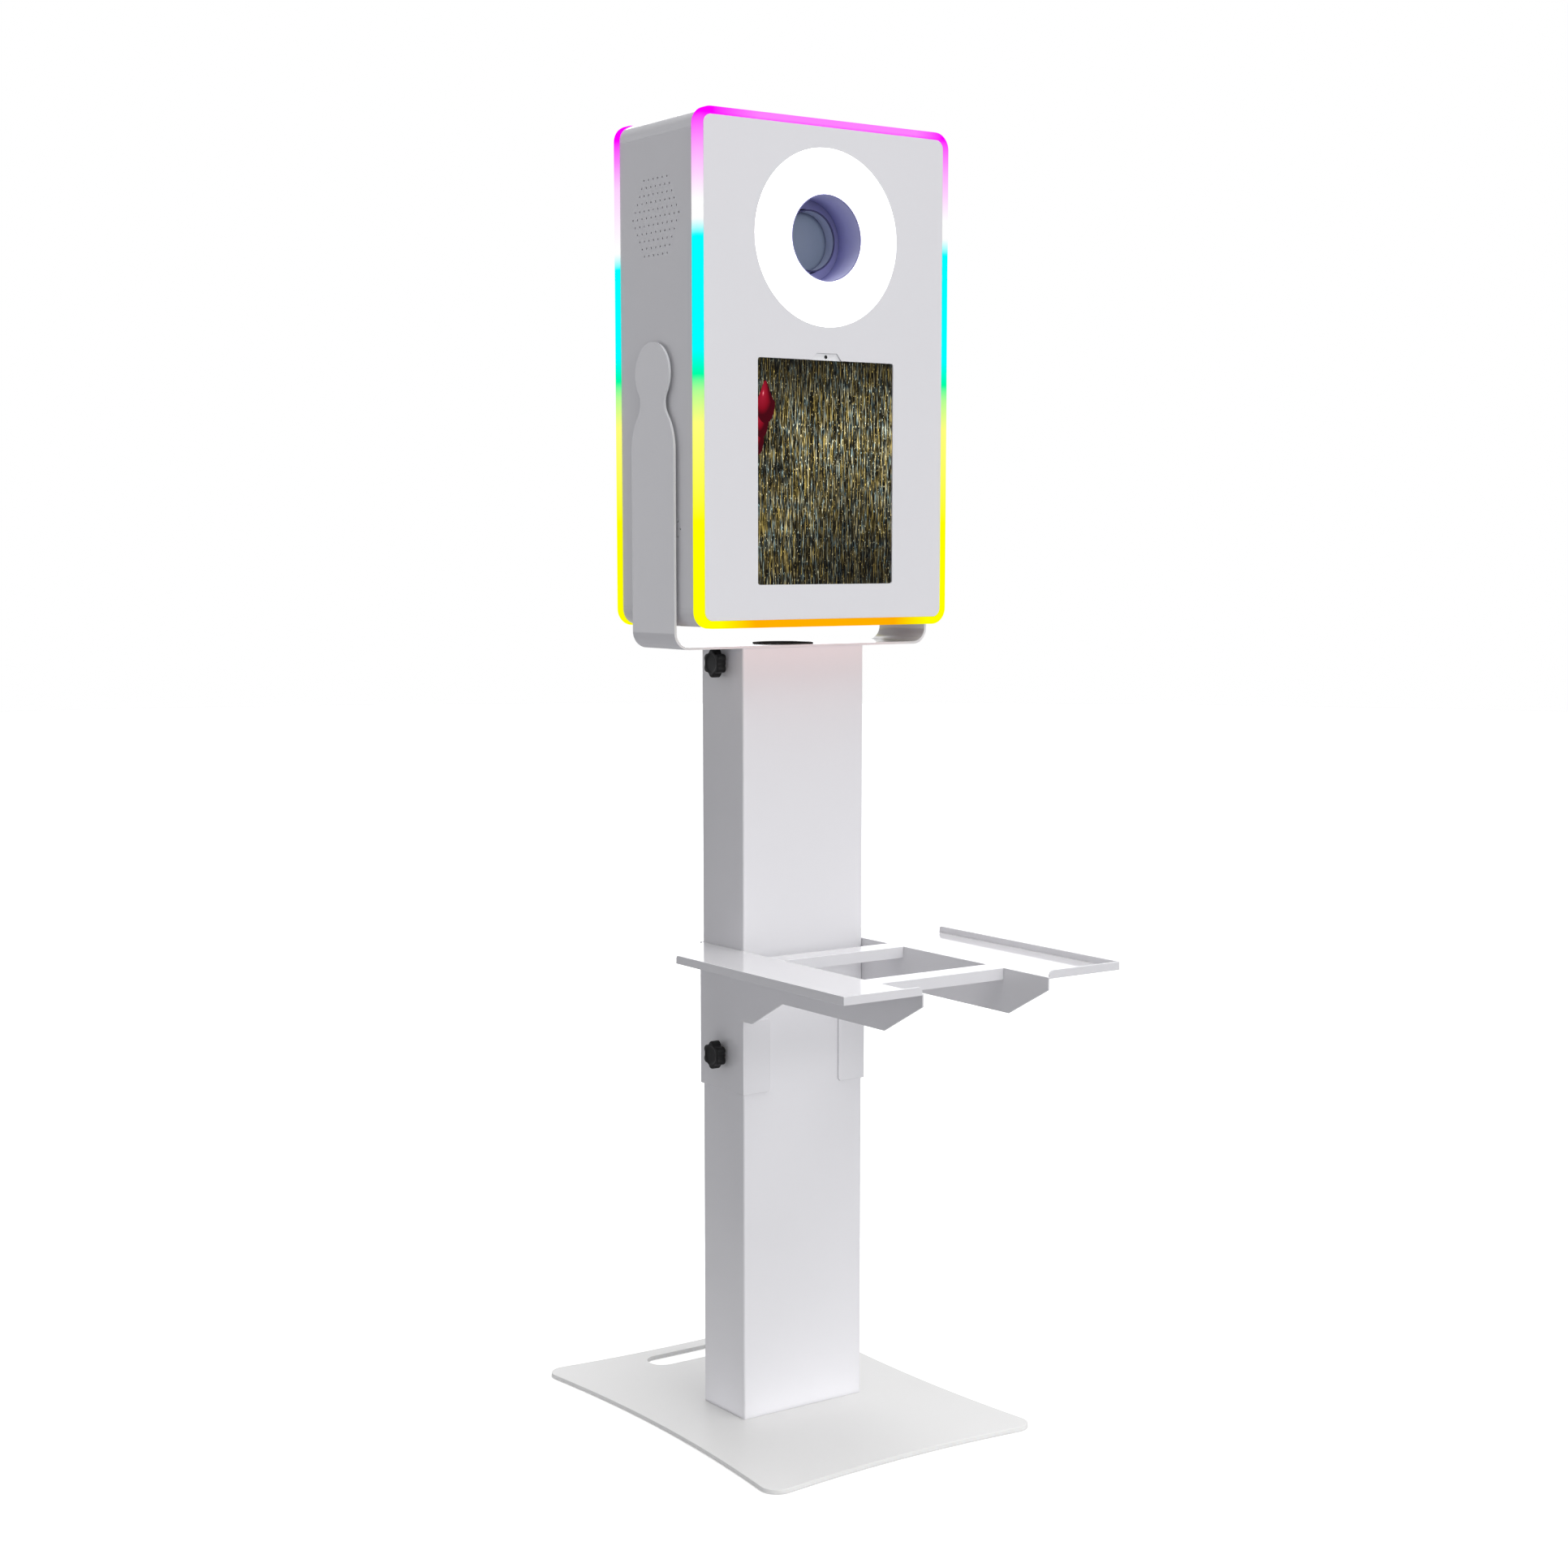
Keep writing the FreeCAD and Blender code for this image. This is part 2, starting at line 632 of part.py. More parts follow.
def yoke_screws():
    screws = []
    for x, y in screw_places():
        head = screw_cone(x, y, 0).cut(rod(x, y, COL_TOP + YOKE_T / 2, Z_AXIS, YOKE_SCREW_R * 0.7, YOKE_T))
        start = COL_TOP - TOP_PLATE_T - YOKE_SCREW_TIP
        screws.append(join([head, rod(x, y, start, Z_AXIS, YOKE_SCREW_R, COL_TOP - start)]))
    return screws


def cable_grommet():
    body = rod(0, 0, COL_TOP, Z_AXIS, CABLE_HOLE_R, YOKE_T)
    collar = rod(0, 0, COL_TOP + YOKE_T, Z_AXIS, CABLE_HOLE_R + GROMMET_COLLAR, GROMMET_COLLAR_T)
    return join([body, collar]).cut(rod(0, 0, COL_TOP, Z_AXIS, CABLE_HOLE_R - GROMMET_WALL, 2 * YOKE_T))


def pivot_studs():
    inner = YOKE_OUT - YOKE_T
    stud = rod(-inner, 0, PIVOT_Z, X_AXIS, STUD_R, inner - INNER_X + STUD_REACH)
    return [stud, mirrored(stud)]


def pivot_nuts():
    start = INNER_X - PIVOT_PLATE_T - NUT_GAP
    corners = [math.radians(60 * i) for i in range(6)]
    points = [(NUT_R * math.cos(a), PIVOT_Z + NUT_R * math.sin(a)) for a in corners]
    nut = prism_x(points, -start, -start + NUT_T)
    nut = nut.cut(rod(-start, 0, PIVOT_Z, X_AXIS, STUD_R, NUT_T))
    return [nut, mirrored(nut)]


# ---- Head shell ----

def shell_ring():
    outer = slab(SHELL_W, SHELL_H, SHELL_R, SHELL_FRONT, SHELL_BACK, PIVOT_Z)
    return outer.cut(slab(INNER_W, INNER_H, INNER_R, SHELL_FRONT, SHELL_BACK, PIVOT_Z))


def top_cover():
    keep = block(-HEAD_W, HEAD_W, SHELL_FRONT, SHELL_BACK,
                 HEAD_TOP - SHELL_SPLIT, HEAD_TOP)
    return shell_ring().common(keep)


def bottom_cover():
    keep = block(-HEAD_W, HEAD_W, SHELL_FRONT, SHELL_BACK, HEAD_LOW, HEAD_LOW + SHELL_SPLIT)
    return shell_ring().common(keep)


def vent_holes(z_mid):
    """A six-sided field of small round holes through the left side."""
    holes = []
    for row in range(-VENT_HALF_ROWS, VENT_HALF_ROWS + 1):
        count = 2 * VENT_HALF_ROWS + 1 - abs(row)
        for i in range(count):
            y = (i - (count - 1) / 2) * VENT_PITCH
            holes.append(rod(-SHELL_W / 2 - 1, y, z_mid + row * VENT_ROW, X_AXIS, VENT_R, SHELL_T + 2))
    return holes


def left_side_panel():
    panel = block(-SHELL_W / 2, -INNER_X, SHELL_FRONT, SHELL_BACK,
                  HEAD_LOW + SHELL_SPLIT, HEAD_TOP - SHELL_SPLIT)
    panel = panel.cut(rod(-SHELL_W / 2 - 1, 0, PIVOT_Z, X_AXIS, STUD_R + 0.5, SHELL_T + 2))
    return panel.cut(Part.makeCompound(vent_holes(PIVOT_Z + VENT_OFF) + vent_holes(PIVOT_Z - VENT_OFF)))


def flange_frame(y0, y1):
    outer = slab(INNER_W, INNER_H, INNER_R, y0, y1, PIVOT_Z)
    inner = slab(INNER_W - 2 * FLANGE_W, INNER_H - 2 * FLANGE_W, INNER_R / 2, y0, y1, PIVOT_Z)
    return outer.cut(inner)


def front_frame():
    return flange_frame(SHELL_FRONT, SHELL_FRONT + FLANGE_T)


def rear_frame():
    ring = flange_frame(SHELL_BACK - FLANGE_T, SHELL_BACK)
    half = INNER_X - FLANGE_W
    rail = block(-half, half, SHELL_BACK - FLANGE_T, SHELL_BACK, SILL_TOP - RAIL_BELOW, SILL_TOP + RAIL_ABOVE)
    return join([ring, rail])


def light_frame(y0, y1, groove_y0, groove_y1, face_y):
    outer = slab(HEAD_W, HEAD_H, HEAD_R, y0, y1, PIVOT_Z)
    outer = outer.makeFillet(LIGHT_EDGE_R, edges_at(outer, Y_AXIS, face_y))
    inner = slab(HEAD_W - 2 * LIGHT_B, HEAD_H - 2 * LIGHT_B, HEAD_R - LIGHT_B, y0, y1, PIVOT_Z)
    groove = slab(INNER_W + 1, INNER_H + 1, INNER_R + 0.5, groove_y0, groove_y1, PIVOT_Z)
    groove = groove.cut(slab(INNER_W + 1 - 2 * GROOVE_W, INNER_H + 1 - 2 * GROOVE_W,
                             INNER_R + 0.5 - GROOVE_W, groove_y0, groove_y1, PIVOT_Z))
    return outer.cut(inner).cut(groove)


def front_light_frame():
    return light_frame(HEAD_FRONT, SHELL_FRONT, SHELL_FRONT - GROOVE_D, SHELL_FRONT, HEAD_FRONT)


def rear_light_frame():
    return light_frame(SHELL_BACK, HEAD_BACK, SHELL_BACK, SHELL_BACK + GROOVE_D, HEAD_BACK)


def led_strip(y0, y1):
    outer = slab(INNER_W, INNER_H, INNER_R, y0, y1, PIVOT_Z)
    return outer.cut(slab(INNER_W - 2 * LED_STRIP_W, INNER_H - 2 * LED_STRIP_W,
                          INNER_R - LED_STRIP_W, y0, y1, PIVOT_Z))


def front_led_strip():
    return led_strip(SHELL_FRONT - LED_STRIP_T, SHELL_FRONT)


def rear_led_strip():
    return led_strip(SHELL_BACK, SHELL_BACK + LED_STRIP_T)


def pivot_plates():
    half = PIVOT_PLATE_HALF
    plate = block(-INNER_X, -INNER_X + PIVOT_PLATE_T, -half, half, PIVOT_Z - half, PIVOT_Z + half)
    plate = rounded(plate, X_AXIS, PIVOT_PLATE_R)
    plate = plate.cut(rod(-INNER_X, 0, PIVOT_Z, X_AXIS, STUD_R + RUN_GAP, PIVOT_PLATE_T))
    return [plate, mirrored(plate)]


def tilt_washers():
    washer = tube(-SHELL_W / 2, 0, PIVOT_Z, V(-1, 0, 0), WASHER_R, STUD_R + RUN_GAP,
                  YOKE_OUT - YOKE_T - SHELL_W / 2 - SLIDE_GAP)
    return [washer, mirrored(washer)]


# ---- Head front ----

def screen_opening(y0, y1):
    z0 = SCREEN_Z - SCREEN_H / 2
    opening = slab(SCREEN_W, SCREEN_H, SCREEN_R, y0, y1, SCREEN_Z)
    top = z0 + SCREEN_H
    notch = prism_y([(-NOTCH_BASE, top - 1), (NOTCH_BASE, top - 1), (NOTCH_BASE, top),
                     (NOTCH_TOP, top + NOTCH_H), (-NOTCH_TOP, top + NOTCH_H), (-NOTCH_BASE, top)], y0, y1)
    return join([opening, notch])


def front_panel():
    """Folded sheet panel inside the light frame, open for the ring light and the tablet."""
    face_back = HEAD_FRONT + PANEL_T
    face = slab(PANEL_W, PANEL_H, PANEL_R, HEAD_FRONT, SHELL_FRONT, PIVOT_Z)
    face = face.makeFillet(PANEL_EDGE_R, edges_at(face, Y_AXIS, HEAD_FRONT))
    room = slab(PANEL_W - 2 * RETURN_T, PANEL_H - 2 * RETURN_T, PANEL_R - RETURN_T,
                face_back, SHELL_FRONT, PIVOT_Z)
    panel = face.cut(room)
    panel = panel.cut(rod(0, HEAD_FRONT - 1, LENS_Z, Y_AXIS, RING_R + 0.3, PANEL_T + 2))
    return panel.cut(screen_opening(HEAD_FRONT - 1, face_back + 1))


def ring_light_diffuser():
    face = rod(0, HEAD_FRONT, LENS_Z, Y_AXIS, RING_R, PANEL_T)
    face = face.makeFillet(RING_EDGE_R, edges_at(face, Y_AXIS, HEAD_FRONT))
    lip = rod(0, HEAD_FRONT + PANEL_T, LENS_Z, Y_AXIS, RING_R + RING_LIP, RING_FACE_T - PANEL_T)
    return join([face, lip]).cut(rod(0, HEAD_FRONT - 1, LENS_Z, Y_AXIS, RING_HOLE_R, RING_FACE_T + 2))


def ring_light_tray():
    """Round pan behind the front panel that holds the ring light's board."""
    front = HEAD_FRONT + PANEL_T
    pan = rod(0, front, LENS_Z, Y_AXIS, RING_TRAY_R, RING_TRAY_BACK - front)
    room = rod(0, front, LENS_Z, Y_AXIS, RING_TRAY_R - RING_TRAY_T, RING_TRAY_BACK - front - RING_TRAY_T)
    return pan.cut(room).cut(rod(0, front, LENS_Z, Y_AXIS, RING_HOLE_R, RING_TRAY_BACK - front))


def ring_light_board():
    start = RING_TRAY_BACK - RING_TRAY_T - BOARD_T
    board = tube(0, start, LENS_Z, Y_AXIS, RING_R, RING_HOLE_R + 2, BOARD_T)
    beads = []
    for radius, count in BEAD_RINGS:
        for i in range(count):
            angle = 2 * math.pi * i / count
            x = radius * math.cos(angle)
            z = LENS_Z + radius * math.sin(angle)
            beads.append(block(x - BEAD_HALF, x + BEAD_HALF, start - BEAD_T, start,
                               z - BEAD_HALF, z + BEAD_HALF))
    return join([board] + beads)


def lens_tunnel():
    front = HEAD_FRONT + TUNNEL_SET
    back = HEAD_FRONT + TUNNEL_DEPTH
    outer = RING_HOLE_R - TUNNEL_SLACK
    wall = tube(0, front, LENS_Z, Y_AXIS, outer, TUNNEL_R, back - front)
    rear = tube(0, back - TUNNEL_REAR_T, LENS_Z, Y_AXIS, outer, LENS_R + 1.5, TUNNEL_REAR_T)
    return join([wall, rear])


# ---- Camera ----

def camera_lens():
    length = CAMERA_FRONT - LENS_FRONT_Y
    step = LENS_FRONT_Y + length * BARREL_SHARE
    barrel = rod(0, LENS_FRONT_Y, LENS_Z, Y_AXIS, LENS_R, step - LENS_FRONT_Y)
    barrel = barrel.makeFillet(0.6, edges_at(barrel, Y_AXIS, LENS_FRONT_Y))
    rear = rod(0, step, LENS_Z, Y_AXIS, LENS_R - LENS_STEP, CAMERA_FRONT - step)
    hood = rod(0, LENS_FRONT_Y, LENS_Z, Y_AXIS, LENS_R - LENS_WALL, LENS_HOOD)
    return join([barrel, rear]).cut(hood)


def lens_glass():
    """Front element, a slightly domed disc at the bottom of the hood."""
    front = LENS_FRONT_Y + LENS_HOOD - GLASS_T
    disc = rod(0, front, LENS_Z, Y_AXIS, LENS_R - LENS_WALL, GLASS_T)
    return disc.common(Part.makeSphere(GLASS_DOME_R, V(0, front + GLASS_DOME_R, LENS_Z)))


def camera_body():
    body_top = CAMERA_LOW + CAMERA_H - CAMERA_TOP_STEP
    hump_low = CAMERA_LOW + CAMERA_H + 4 - HUMP_H
    body = rounded(block(CAMERA_X0, CAMERA_X0 + CAMERA_W, CAMERA_FRONT, CAMERA_FRONT + CAMERA_D,
                         CAMERA_LOW, body_top), Y_AXIS, CAMERA_R)
    hump = prism_y([(-HUMP_HALF, hump_low), (HUMP_HALF, hump_low),
                    (HUMP_TOP_HALF, hump_low + HUMP_H), (-HUMP_TOP_HALF, hump_low + HUMP_H)],
                   CAMERA_FRONT, CAMERA_FRONT + CAMERA_D - HUMP_SET)
    grip = rounded(block(*GRIP_X, *GRIP_Y, CAMERA_LOW + GRIP_INSET, body_top - 2 * GRIP_INSET),
                   Z_AXIS, GRIP_R)
    return join([body, hump, grip])


def camera_shelf():
    """Folded shelf across the head that the camera is screwed to."""
    top = CAMERA_LOW
    plate = block(-INNER_X, INNER_X, *SHELF_Y, top - SHELF_T, top)
    ear = block(-INNER_X, -INNER_X + SHELF_T, *SHELF_Y, top - SHELF_EAR, top)
    return join([plate, ear, mirrored(ear)])


# ---- Tablet ----

def tablet_body():
    body = slab(TABLET_W, TABLET_H, TABLET_R, TABLET_FRONT, TABLET_FRONT + TABLET_T, SCREEN_Z)
    body = body.makeFillet(TABLET_BACK_R, edges_at(body, Y_AXIS, TABLET_FRONT + TABLET_T))
    eye_z = SCREEN_Z + SCREEN_H / 2 + NOTCH_H / 2
    return body.cut(tablet_screen()).cut(rod(0, TABLET_FRONT, eye_z, Y_AXIS, EYE_HOLE_R, EYE_HOLE_D))


def tablet_screen():
    return slab(SCREEN_W, SCREEN_H, SCREEN_R, TABLET_FRONT, TABLET_FRONT + SCREEN_T, SCREEN_Z)


def tablet_clips():
    """Four angle clips that trap the tablet's long edges against the panel."""
    clips = []
    edge = TABLET_W / 2 + CLIP_SLACK
    back = TABLET_FRONT + TABLET_T + 0.1
    for height in CLIP_HEIGHTS:
        z0 = SCREEN_Z + height - CLIP_HALF
        z1 = SCREEN_Z + height + CLIP_HALF
        wall = block(edge, edge + CLIP_WALL, HEAD_FRONT + PANEL_T, back + CLIP_T, z0, z1)
        tab = block(edge - CLIP_REACH, edge + CLIP_WALL, back, back + CLIP_T, z0, z1)
        clip = join([wall, tab])
        clips += [clip, mirrored(clip)]
    return clips


# ---- Electrics ----

def power_supply():
    top = INNER_LOW + SUPPLY_H
    case = block(*SUPPLY_X, *SUPPLY_Y, INNER_LOW, top)
    case = case.makeFillet(SUPPLY_EDGE_R, edges_at(case, Z_AXIS, top))
    slots = []
    for i in range(SUPPLY_SLOTS):
        x = SUPPLY_SLOT_X + i * SUPPLY_SLOT_PITCH
        slots.append(block(x, x + SUPPLY_SLOT_W, *SUPPLY_SLOT_Y, top - SUPPLY_SLOT_D, top + 1))
    return case.cut(Part.makeCompound(slots))


def led_controller():
    case = block(*CONTROLLER_X, -CONTROLLER_HALF_D, CONTROLLER_HALF_D, INNER_LOW, INNER_LOW + CONTROLLER_H)
    return rounded(case, Z_AXIS, CONTROLLER_R)


def socket_block(x, half_w, half_h, y0, y1):
    """A box around a socket's middle, seen from the back."""
    return block(x - half_w, x + half_w, y0, y1, SOCKET_Z - half_h, SOCKET_Z + half_h)


def connector_panel():
    """Fixed strip under the rear door that carries the power inlet and the switch."""
    face_front = HEAD_BACK - PANEL_T
    height = SILL_TOP - (PIVOT_Z - PANEL_H / 2)
    z_mid = SILL_TOP - height / 2
    outer = slab(PANEL_W, height, 4.0, SHELL_BACK, HEAD_BACK, z_mid)
    room = slab(PANEL_W - 2 * RETURN_T, height - 2 * RETURN_T, 3.0, SHELL_BACK, face_front, z_mid)
    panel = outer.cut(room)
    panel = panel.common(slab(PANEL_W, PANEL_H, PANEL_R, SHELL_BACK, HEAD_BACK, PIVOT_Z))
    inlet = socket_block(INLET_X, INLET_HALF_W, INLET_HALF_H, SHELL_BACK, HEAD_BACK)
    switch = socket_block(SWITCH_X, SWITCH_HALF_W, SWITCH_HALF_H, SHELL_BACK, HEAD_BACK)
    return panel.cut(inlet).cut(switch)


def power_inlet():
    """Three-pin appliance inlet with a flange."""
    half_w, half_h, thick, corner = INLET_FLANGE
    flange = rounded(socket_block(INLET_X, half_w, half_h, HEAD_BACK, HEAD_BACK + thick), Y_AXIS, corner)
    body = socket_block(INLET_X, INLET_HALF_W, INLET_HALF_H, HEAD_BACK - INLET_D, HEAD_BACK)
    half_w, half_h, depth, corner = INLET_WELL
    well = rounded(socket_block(INLET_X, half_w, half_h, HEAD_BACK - depth, HEAD_BACK + 3), Y_AXIS, corner)
    pins = []
    for dx, dz in PIN_PLACES:
        x, z = INLET_X + dx, SOCKET_Z + dz
        pins.append(block(x - PIN_HALF_W, x + PIN_HALF_W, HEAD_BACK - depth - 1, HEAD_BACK - PIN_TIP,
                          z - PIN_HALF_H, z + PIN_HALF_H))
    return join([join([flange, body]).cut(well)] + pins)


def switch_housing():
    half_w, half_h, thick, corner = SWITCH_FLANGE
    flange = rounded(socket_block(SWITCH_X, half_w, half_h, HEAD_BACK, HEAD_BACK + thick), Y_AXIS, corner)
    body = socket_block(SWITCH_X, SWITCH_HALF_W, SWITCH_HALF_H, HEAD_BACK - SWITCH_D, HEAD_BACK)
    well = socket_block(SWITCH_X, ROCKER_W / 2 + SWITCH_SIDE_GAP, SWITCH_WELL_HALF_H,
                        HEAD_BACK - SWITCH_WELL_D, HEAD_BACK + thick + 1)
    bore = rod(SWITCH_X - ROCKER_BORE_L / 2, ROCKER_Y, SOCKET_Z, X_AXIS, ROCKER_PIN_R + RUN_GAP, ROCKER_BORE_L)
    return join([flange, body]).cut(well).cut(bore)


def power_rocker():
    foot = ROCKER_HALF_H - ROCKER_TAPER
    outline = [(ROCKER_Y - ROCKER_FRONT, SOCKET_Z - foot), (ROCKER_Y + ROCKER_CREST, SOCKET_Z - ROCKER_HALF_H),
               (ROCKER_Y + ROCKER_DIP, SOCKET_Z), (ROCKER_Y + ROCKER_CREST, SOCKET_Z + ROCKER_HALF_H),
               (ROCKER_Y - ROCKER_FRONT, SOCKET_Z + foot)]
    key = prism_x(outline, SWITCH_X - ROCKER_W / 2, SWITCH_X + ROCKER_W / 2)
    pin = rod(SWITCH_X - ROCKER_PIN_L / 2, ROCKER_Y, SOCKET_Z, X_AXIS, ROCKER_PIN_R, ROCKER_PIN_L)
    rocker = join([key, pin])
    rocker.rotate(V(SWITCH_X, ROCKER_Y, SOCKET_Z), X_AXIS, -ROCKER_TILT)
    return rocker


# ---- Rear door ----

def rear_door():
    front = SHELL_BACK + 1
    skin = HEAD_BACK - RETURN_T
    outer = slab(2 * DOOR_HALF_W, DOOR_H, DOOR_R, front, HEAD_BACK, DOOR_Z)
    inside = slab(2 * (DOOR_HALF_W - RETURN_T), DOOR_H - 2 * RETURN_T, DOOR_R - 1, front, skin, DOOR_Z)
    lock_hole = rod(LOCK_X, skin - 1, DOOR_Z, Y_AXIS, LOCK_BARREL_R + 0.2, RETURN_T + 2)
    return outer.cut(inside).cut(lock_hole)


def knuckle_spans(odd):
    """Heights of every other hinge knuckle."""
    spans = []
    for i in range(KNUCKLES):
        if (i % 2 == 1) == odd:
            z0 = HINGE_Z0 + i * KNUCKLE_H + KNUCKLE_GAP / 2
            spans.append((z0, z0 + KNUCKLE_H - KNUCKLE_GAP))
    return spans


def door_hinge_leaf():
    """The moving leaf, on the door's outer face, with the knuckles that turn on the pin."""
    back = HEAD_BACK + HINGE_LEAF_T
    top = HINGE_Z0 + KNUCKLES * KNUCKLE_H
    edge = HINGE_X - KNUCKLE_ROOM
    parts = [block(HINGE_X - HINGE_LEAF_W, edge, HEAD_BACK, back, HINGE_Z0, top)]
    for low, high in knuckle_spans(True):
        parts.append(block(edge, HINGE_X, HEAD_BACK, back, low, high))
        parts.append(rod(HINGE_X, HINGE_Y, low, Z_AXIS, HINGE_R, high - low))
    leaf = join(parts)
    for low, high in knuckle_spans(True):
        leaf = leaf.cut(rod(HINGE_X, HINGE_Y, low, Z_AXIS, HINGE_PIN_R + RUN_GAP, high - low))
    return leaf


def door_hinge_frame():
    """The fixed leaf, on the rear frame, with its knuckles and the pin riveted in them."""
    top = HINGE_Z0 + KNUCKLES * KNUCKLE_H
    near, far = HINGE_X + HINGE_EDGE, HINGE_X + HINGE_EDGE + HINGE_LEAF_T
    leaf_back = HEAD_BACK - 0.4
    parts = [block(near, far, SHELL_BACK, leaf_back, HINGE_Z0, top)]
    for low, high in knuckle_spans(False):
        parts.append(block(near, far, leaf_back, HINGE_Y, low, high))
        parts.append(rod(HINGE_X, HINGE_Y, low, Z_AXIS, HINGE_R, high - low))
    parts.append(rod(HINGE_X, HINGE_Y, HINGE_Z0, Z_AXIS, HINGE_PIN_R, top - HINGE_Z0))
    return join(parts)


def door_lock():
    rim_back = HEAD_BACK + LOCK_RIM_T
    barrel = rod(LOCK_X, LOCK_BARREL_BACK, DOOR_Z, Y_AXIS, LOCK_BARREL_R, HEAD_BACK - LOCK_BARREL_BACK)
    rim = rod(LOCK_X, HEAD_BACK, DOOR_Z, Y_AXIS, LOCK_RIM_R, LOCK_RIM_T)
    rim = rim.makeFillet(LOCK_RIM_EDGE_R, edges_at(rim, Y_AXIS, rim_back))
    plug = rod(LOCK_X, LOCK_BARREL_BACK, DOOR_Z, Y_AXIS, LOCK_PLUG_R + RUN_GAP, rim_back - LOCK_BARREL_BACK)
    return join([barrel, rim]).cut(plug)


def lock_cam():
    """Key plug with its cam, which stands upright when the door is free to open."""
    cam_front = SHELL_BACK - FLANGE_T - CAM_CLEAR
    plug_back = HEAD_BACK + LOCK_PLUG_PROUD
    plug = rod(LOCK_X, cam_front, DOOR_Z, Y_AXIS, LOCK_PLUG_R, plug_back - cam_front)
    plug = plug.cut(block(LOCK_X - KEY_SLOT_HALF_W, LOCK_X + KEY_SLOT_HALF_W,
                          plug_back - KEY_SLOT_D, plug_back, DOOR_Z - KEY_SLOT_HALF_H, DOOR_Z + KEY_SLOT_HALF_H))
    cam = block(LOCK_X - CAM_HALF_W, LOCK_X + CAM_HALF_W, cam_front, cam_front + CAM_T,
                DOOR_Z - CAM_HALF_W, DOOR_Z + CAM_REACH)
    return join([plug, rounded(cam, Y_AXIS, CAM_R)])


# ---- Tray ----

def tray_side():
    """Left side plate of the bracket, with its gusset under the shelf."""
    outline = [(BRACKET_BACK, BRACKET_LOW), (BRACKET_FRONT, BRACKET_LOW), (BRACKET_FRONT, FLANGE_TOP),
               (GUSSET_RISE_Y, FLANGE_TOP), (GUSSET_LEVEL_Y, GUSSET_LEVEL_Z),
               (GUSSET_CHAMFER_Y, GUSSET_LEVEL_Z), (TRAY_FRONT, GUSSET_NOSE_Z),
               (TRAY_FRONT, TRAY_TOP), (BRACKET_BACK, TRAY_TOP)]
    return prism_x(outline, -BRACKET_OUT, -BRACKET_IN)


def tray_left_wing():
    shelf_low = TRAY_TOP - TRAY_T
    out = -TRAY_HALF_W
    reach = TRAY_HALF_W - BRACKET_OUT
    shelf = prism_z([(-BRACKET_IN, TRAY_FRONT), (out, TRAY_FRONT), (out, TRAY_BACK_CORNER),
                     (-BRACKET_OUT, TRAY_BACK_CORNER + reach), (-BRACKET_IN, TRAY_BACK_CORNER + reach)],
                    shelf_low, TRAY_TOP)
    side_lip = block(out, out + TRAY_T, TRAY_FRONT, TRAY_BACK_CORNER, shelf_low, TRAY_LIP)
    corner = [e for e in edges_along(side_lip, X_AXIS)
              if e.BoundBox.YMin > TRAY_BACK_CORNER - 1 and e.BoundBox.ZMin > TRAY_TOP]
    side_lip = side_lip.makeFillet(SIDE_LIP_R, corner)
    front_lip = block(out, -BRACKET_OUT, TRAY_FRONT, TRAY_FRONT + TRAY_T, shelf_low, TRAY_LIP)
    corner = [e for e in edges_along(front_lip, Y_AXIS)
              if e.BoundBox.XMin > -BRACKET_OUT - 1 and e.BoundBox.ZMin > TRAY_TOP]
    front_lip = front_lip.makeFillet(FRONT_LIP_R, corner)
    flange = block(-BRACKET_OUT, FLANGE_LIP - BRACKET_OUT, BRACKET_FRONT, BRACKET_FRONT + TRAY_T,
                   BRACKET_LOW, FLANGE_TOP)
    corner = [e for e in edges_along(flange, Y_AXIS) if e.BoundBox.XMin > -BRACKET_OUT + 1]
    flange = flange.makeFillet(FLANGE_R, corner)
    wing = join([tray_side(), shelf, side_lip, front_lip, flange])
    return wing.cut(rod(-BRACKET_OUT - 1, 0, LOWER_KNOB_Z, X_AXIS, KNOB_HOLE_R, TRAY_T + 2))


def tray_right_wing():
    whole = tray_left_wing()
    patch = rod(-BRACKET_OUT, 0, LOWER_KNOB_Z, X_AXIS, KNOB_HOLE_R, TRAY_T)
    return mirrored(join([whole, patch]))


def tray_back_plate():
    return block(-BRACKET_IN, BRACKET_IN, BRACKET_BACK - TRAY_T, BRACKET_BACK, BRACKET_LOW, TRAY_TOP)


def crossbar(y0):
    """Folded channel between the two side plates, flush with the shelf."""
    y1 = y0 + BAR_W
    low = TRAY_TOP - BAR_H
    bar = block(-BRACKET_IN, BRACKET_IN, y0, y1, low, TRAY_TOP)
    return bar.cut(block(-BRACKET_IN, BRACKET_IN, y0 + TRAY_T, y1 - TRAY_T, low, TRAY_TOP - TRAY_T))


# ---- Knobs ----

def knob_boss(x_face, z):
    """Threaded boss that the knob's stud screws through."""
    return tube(x_face, 0, z, V(-1, 0, 0), KNOB_BOSS_R, KNOB_STUD_R + RUN_GAP, KNOB_BOSS)


def knob_stud(x_face, x_tip, z):
    x_head = x_face - KNOB_BOSS - KNOB_T * KNOB_GRIP_SHARE
    return rod(x_head, 0, z, X_AXIS, KNOB_STUD_R, x_tip - x_head)


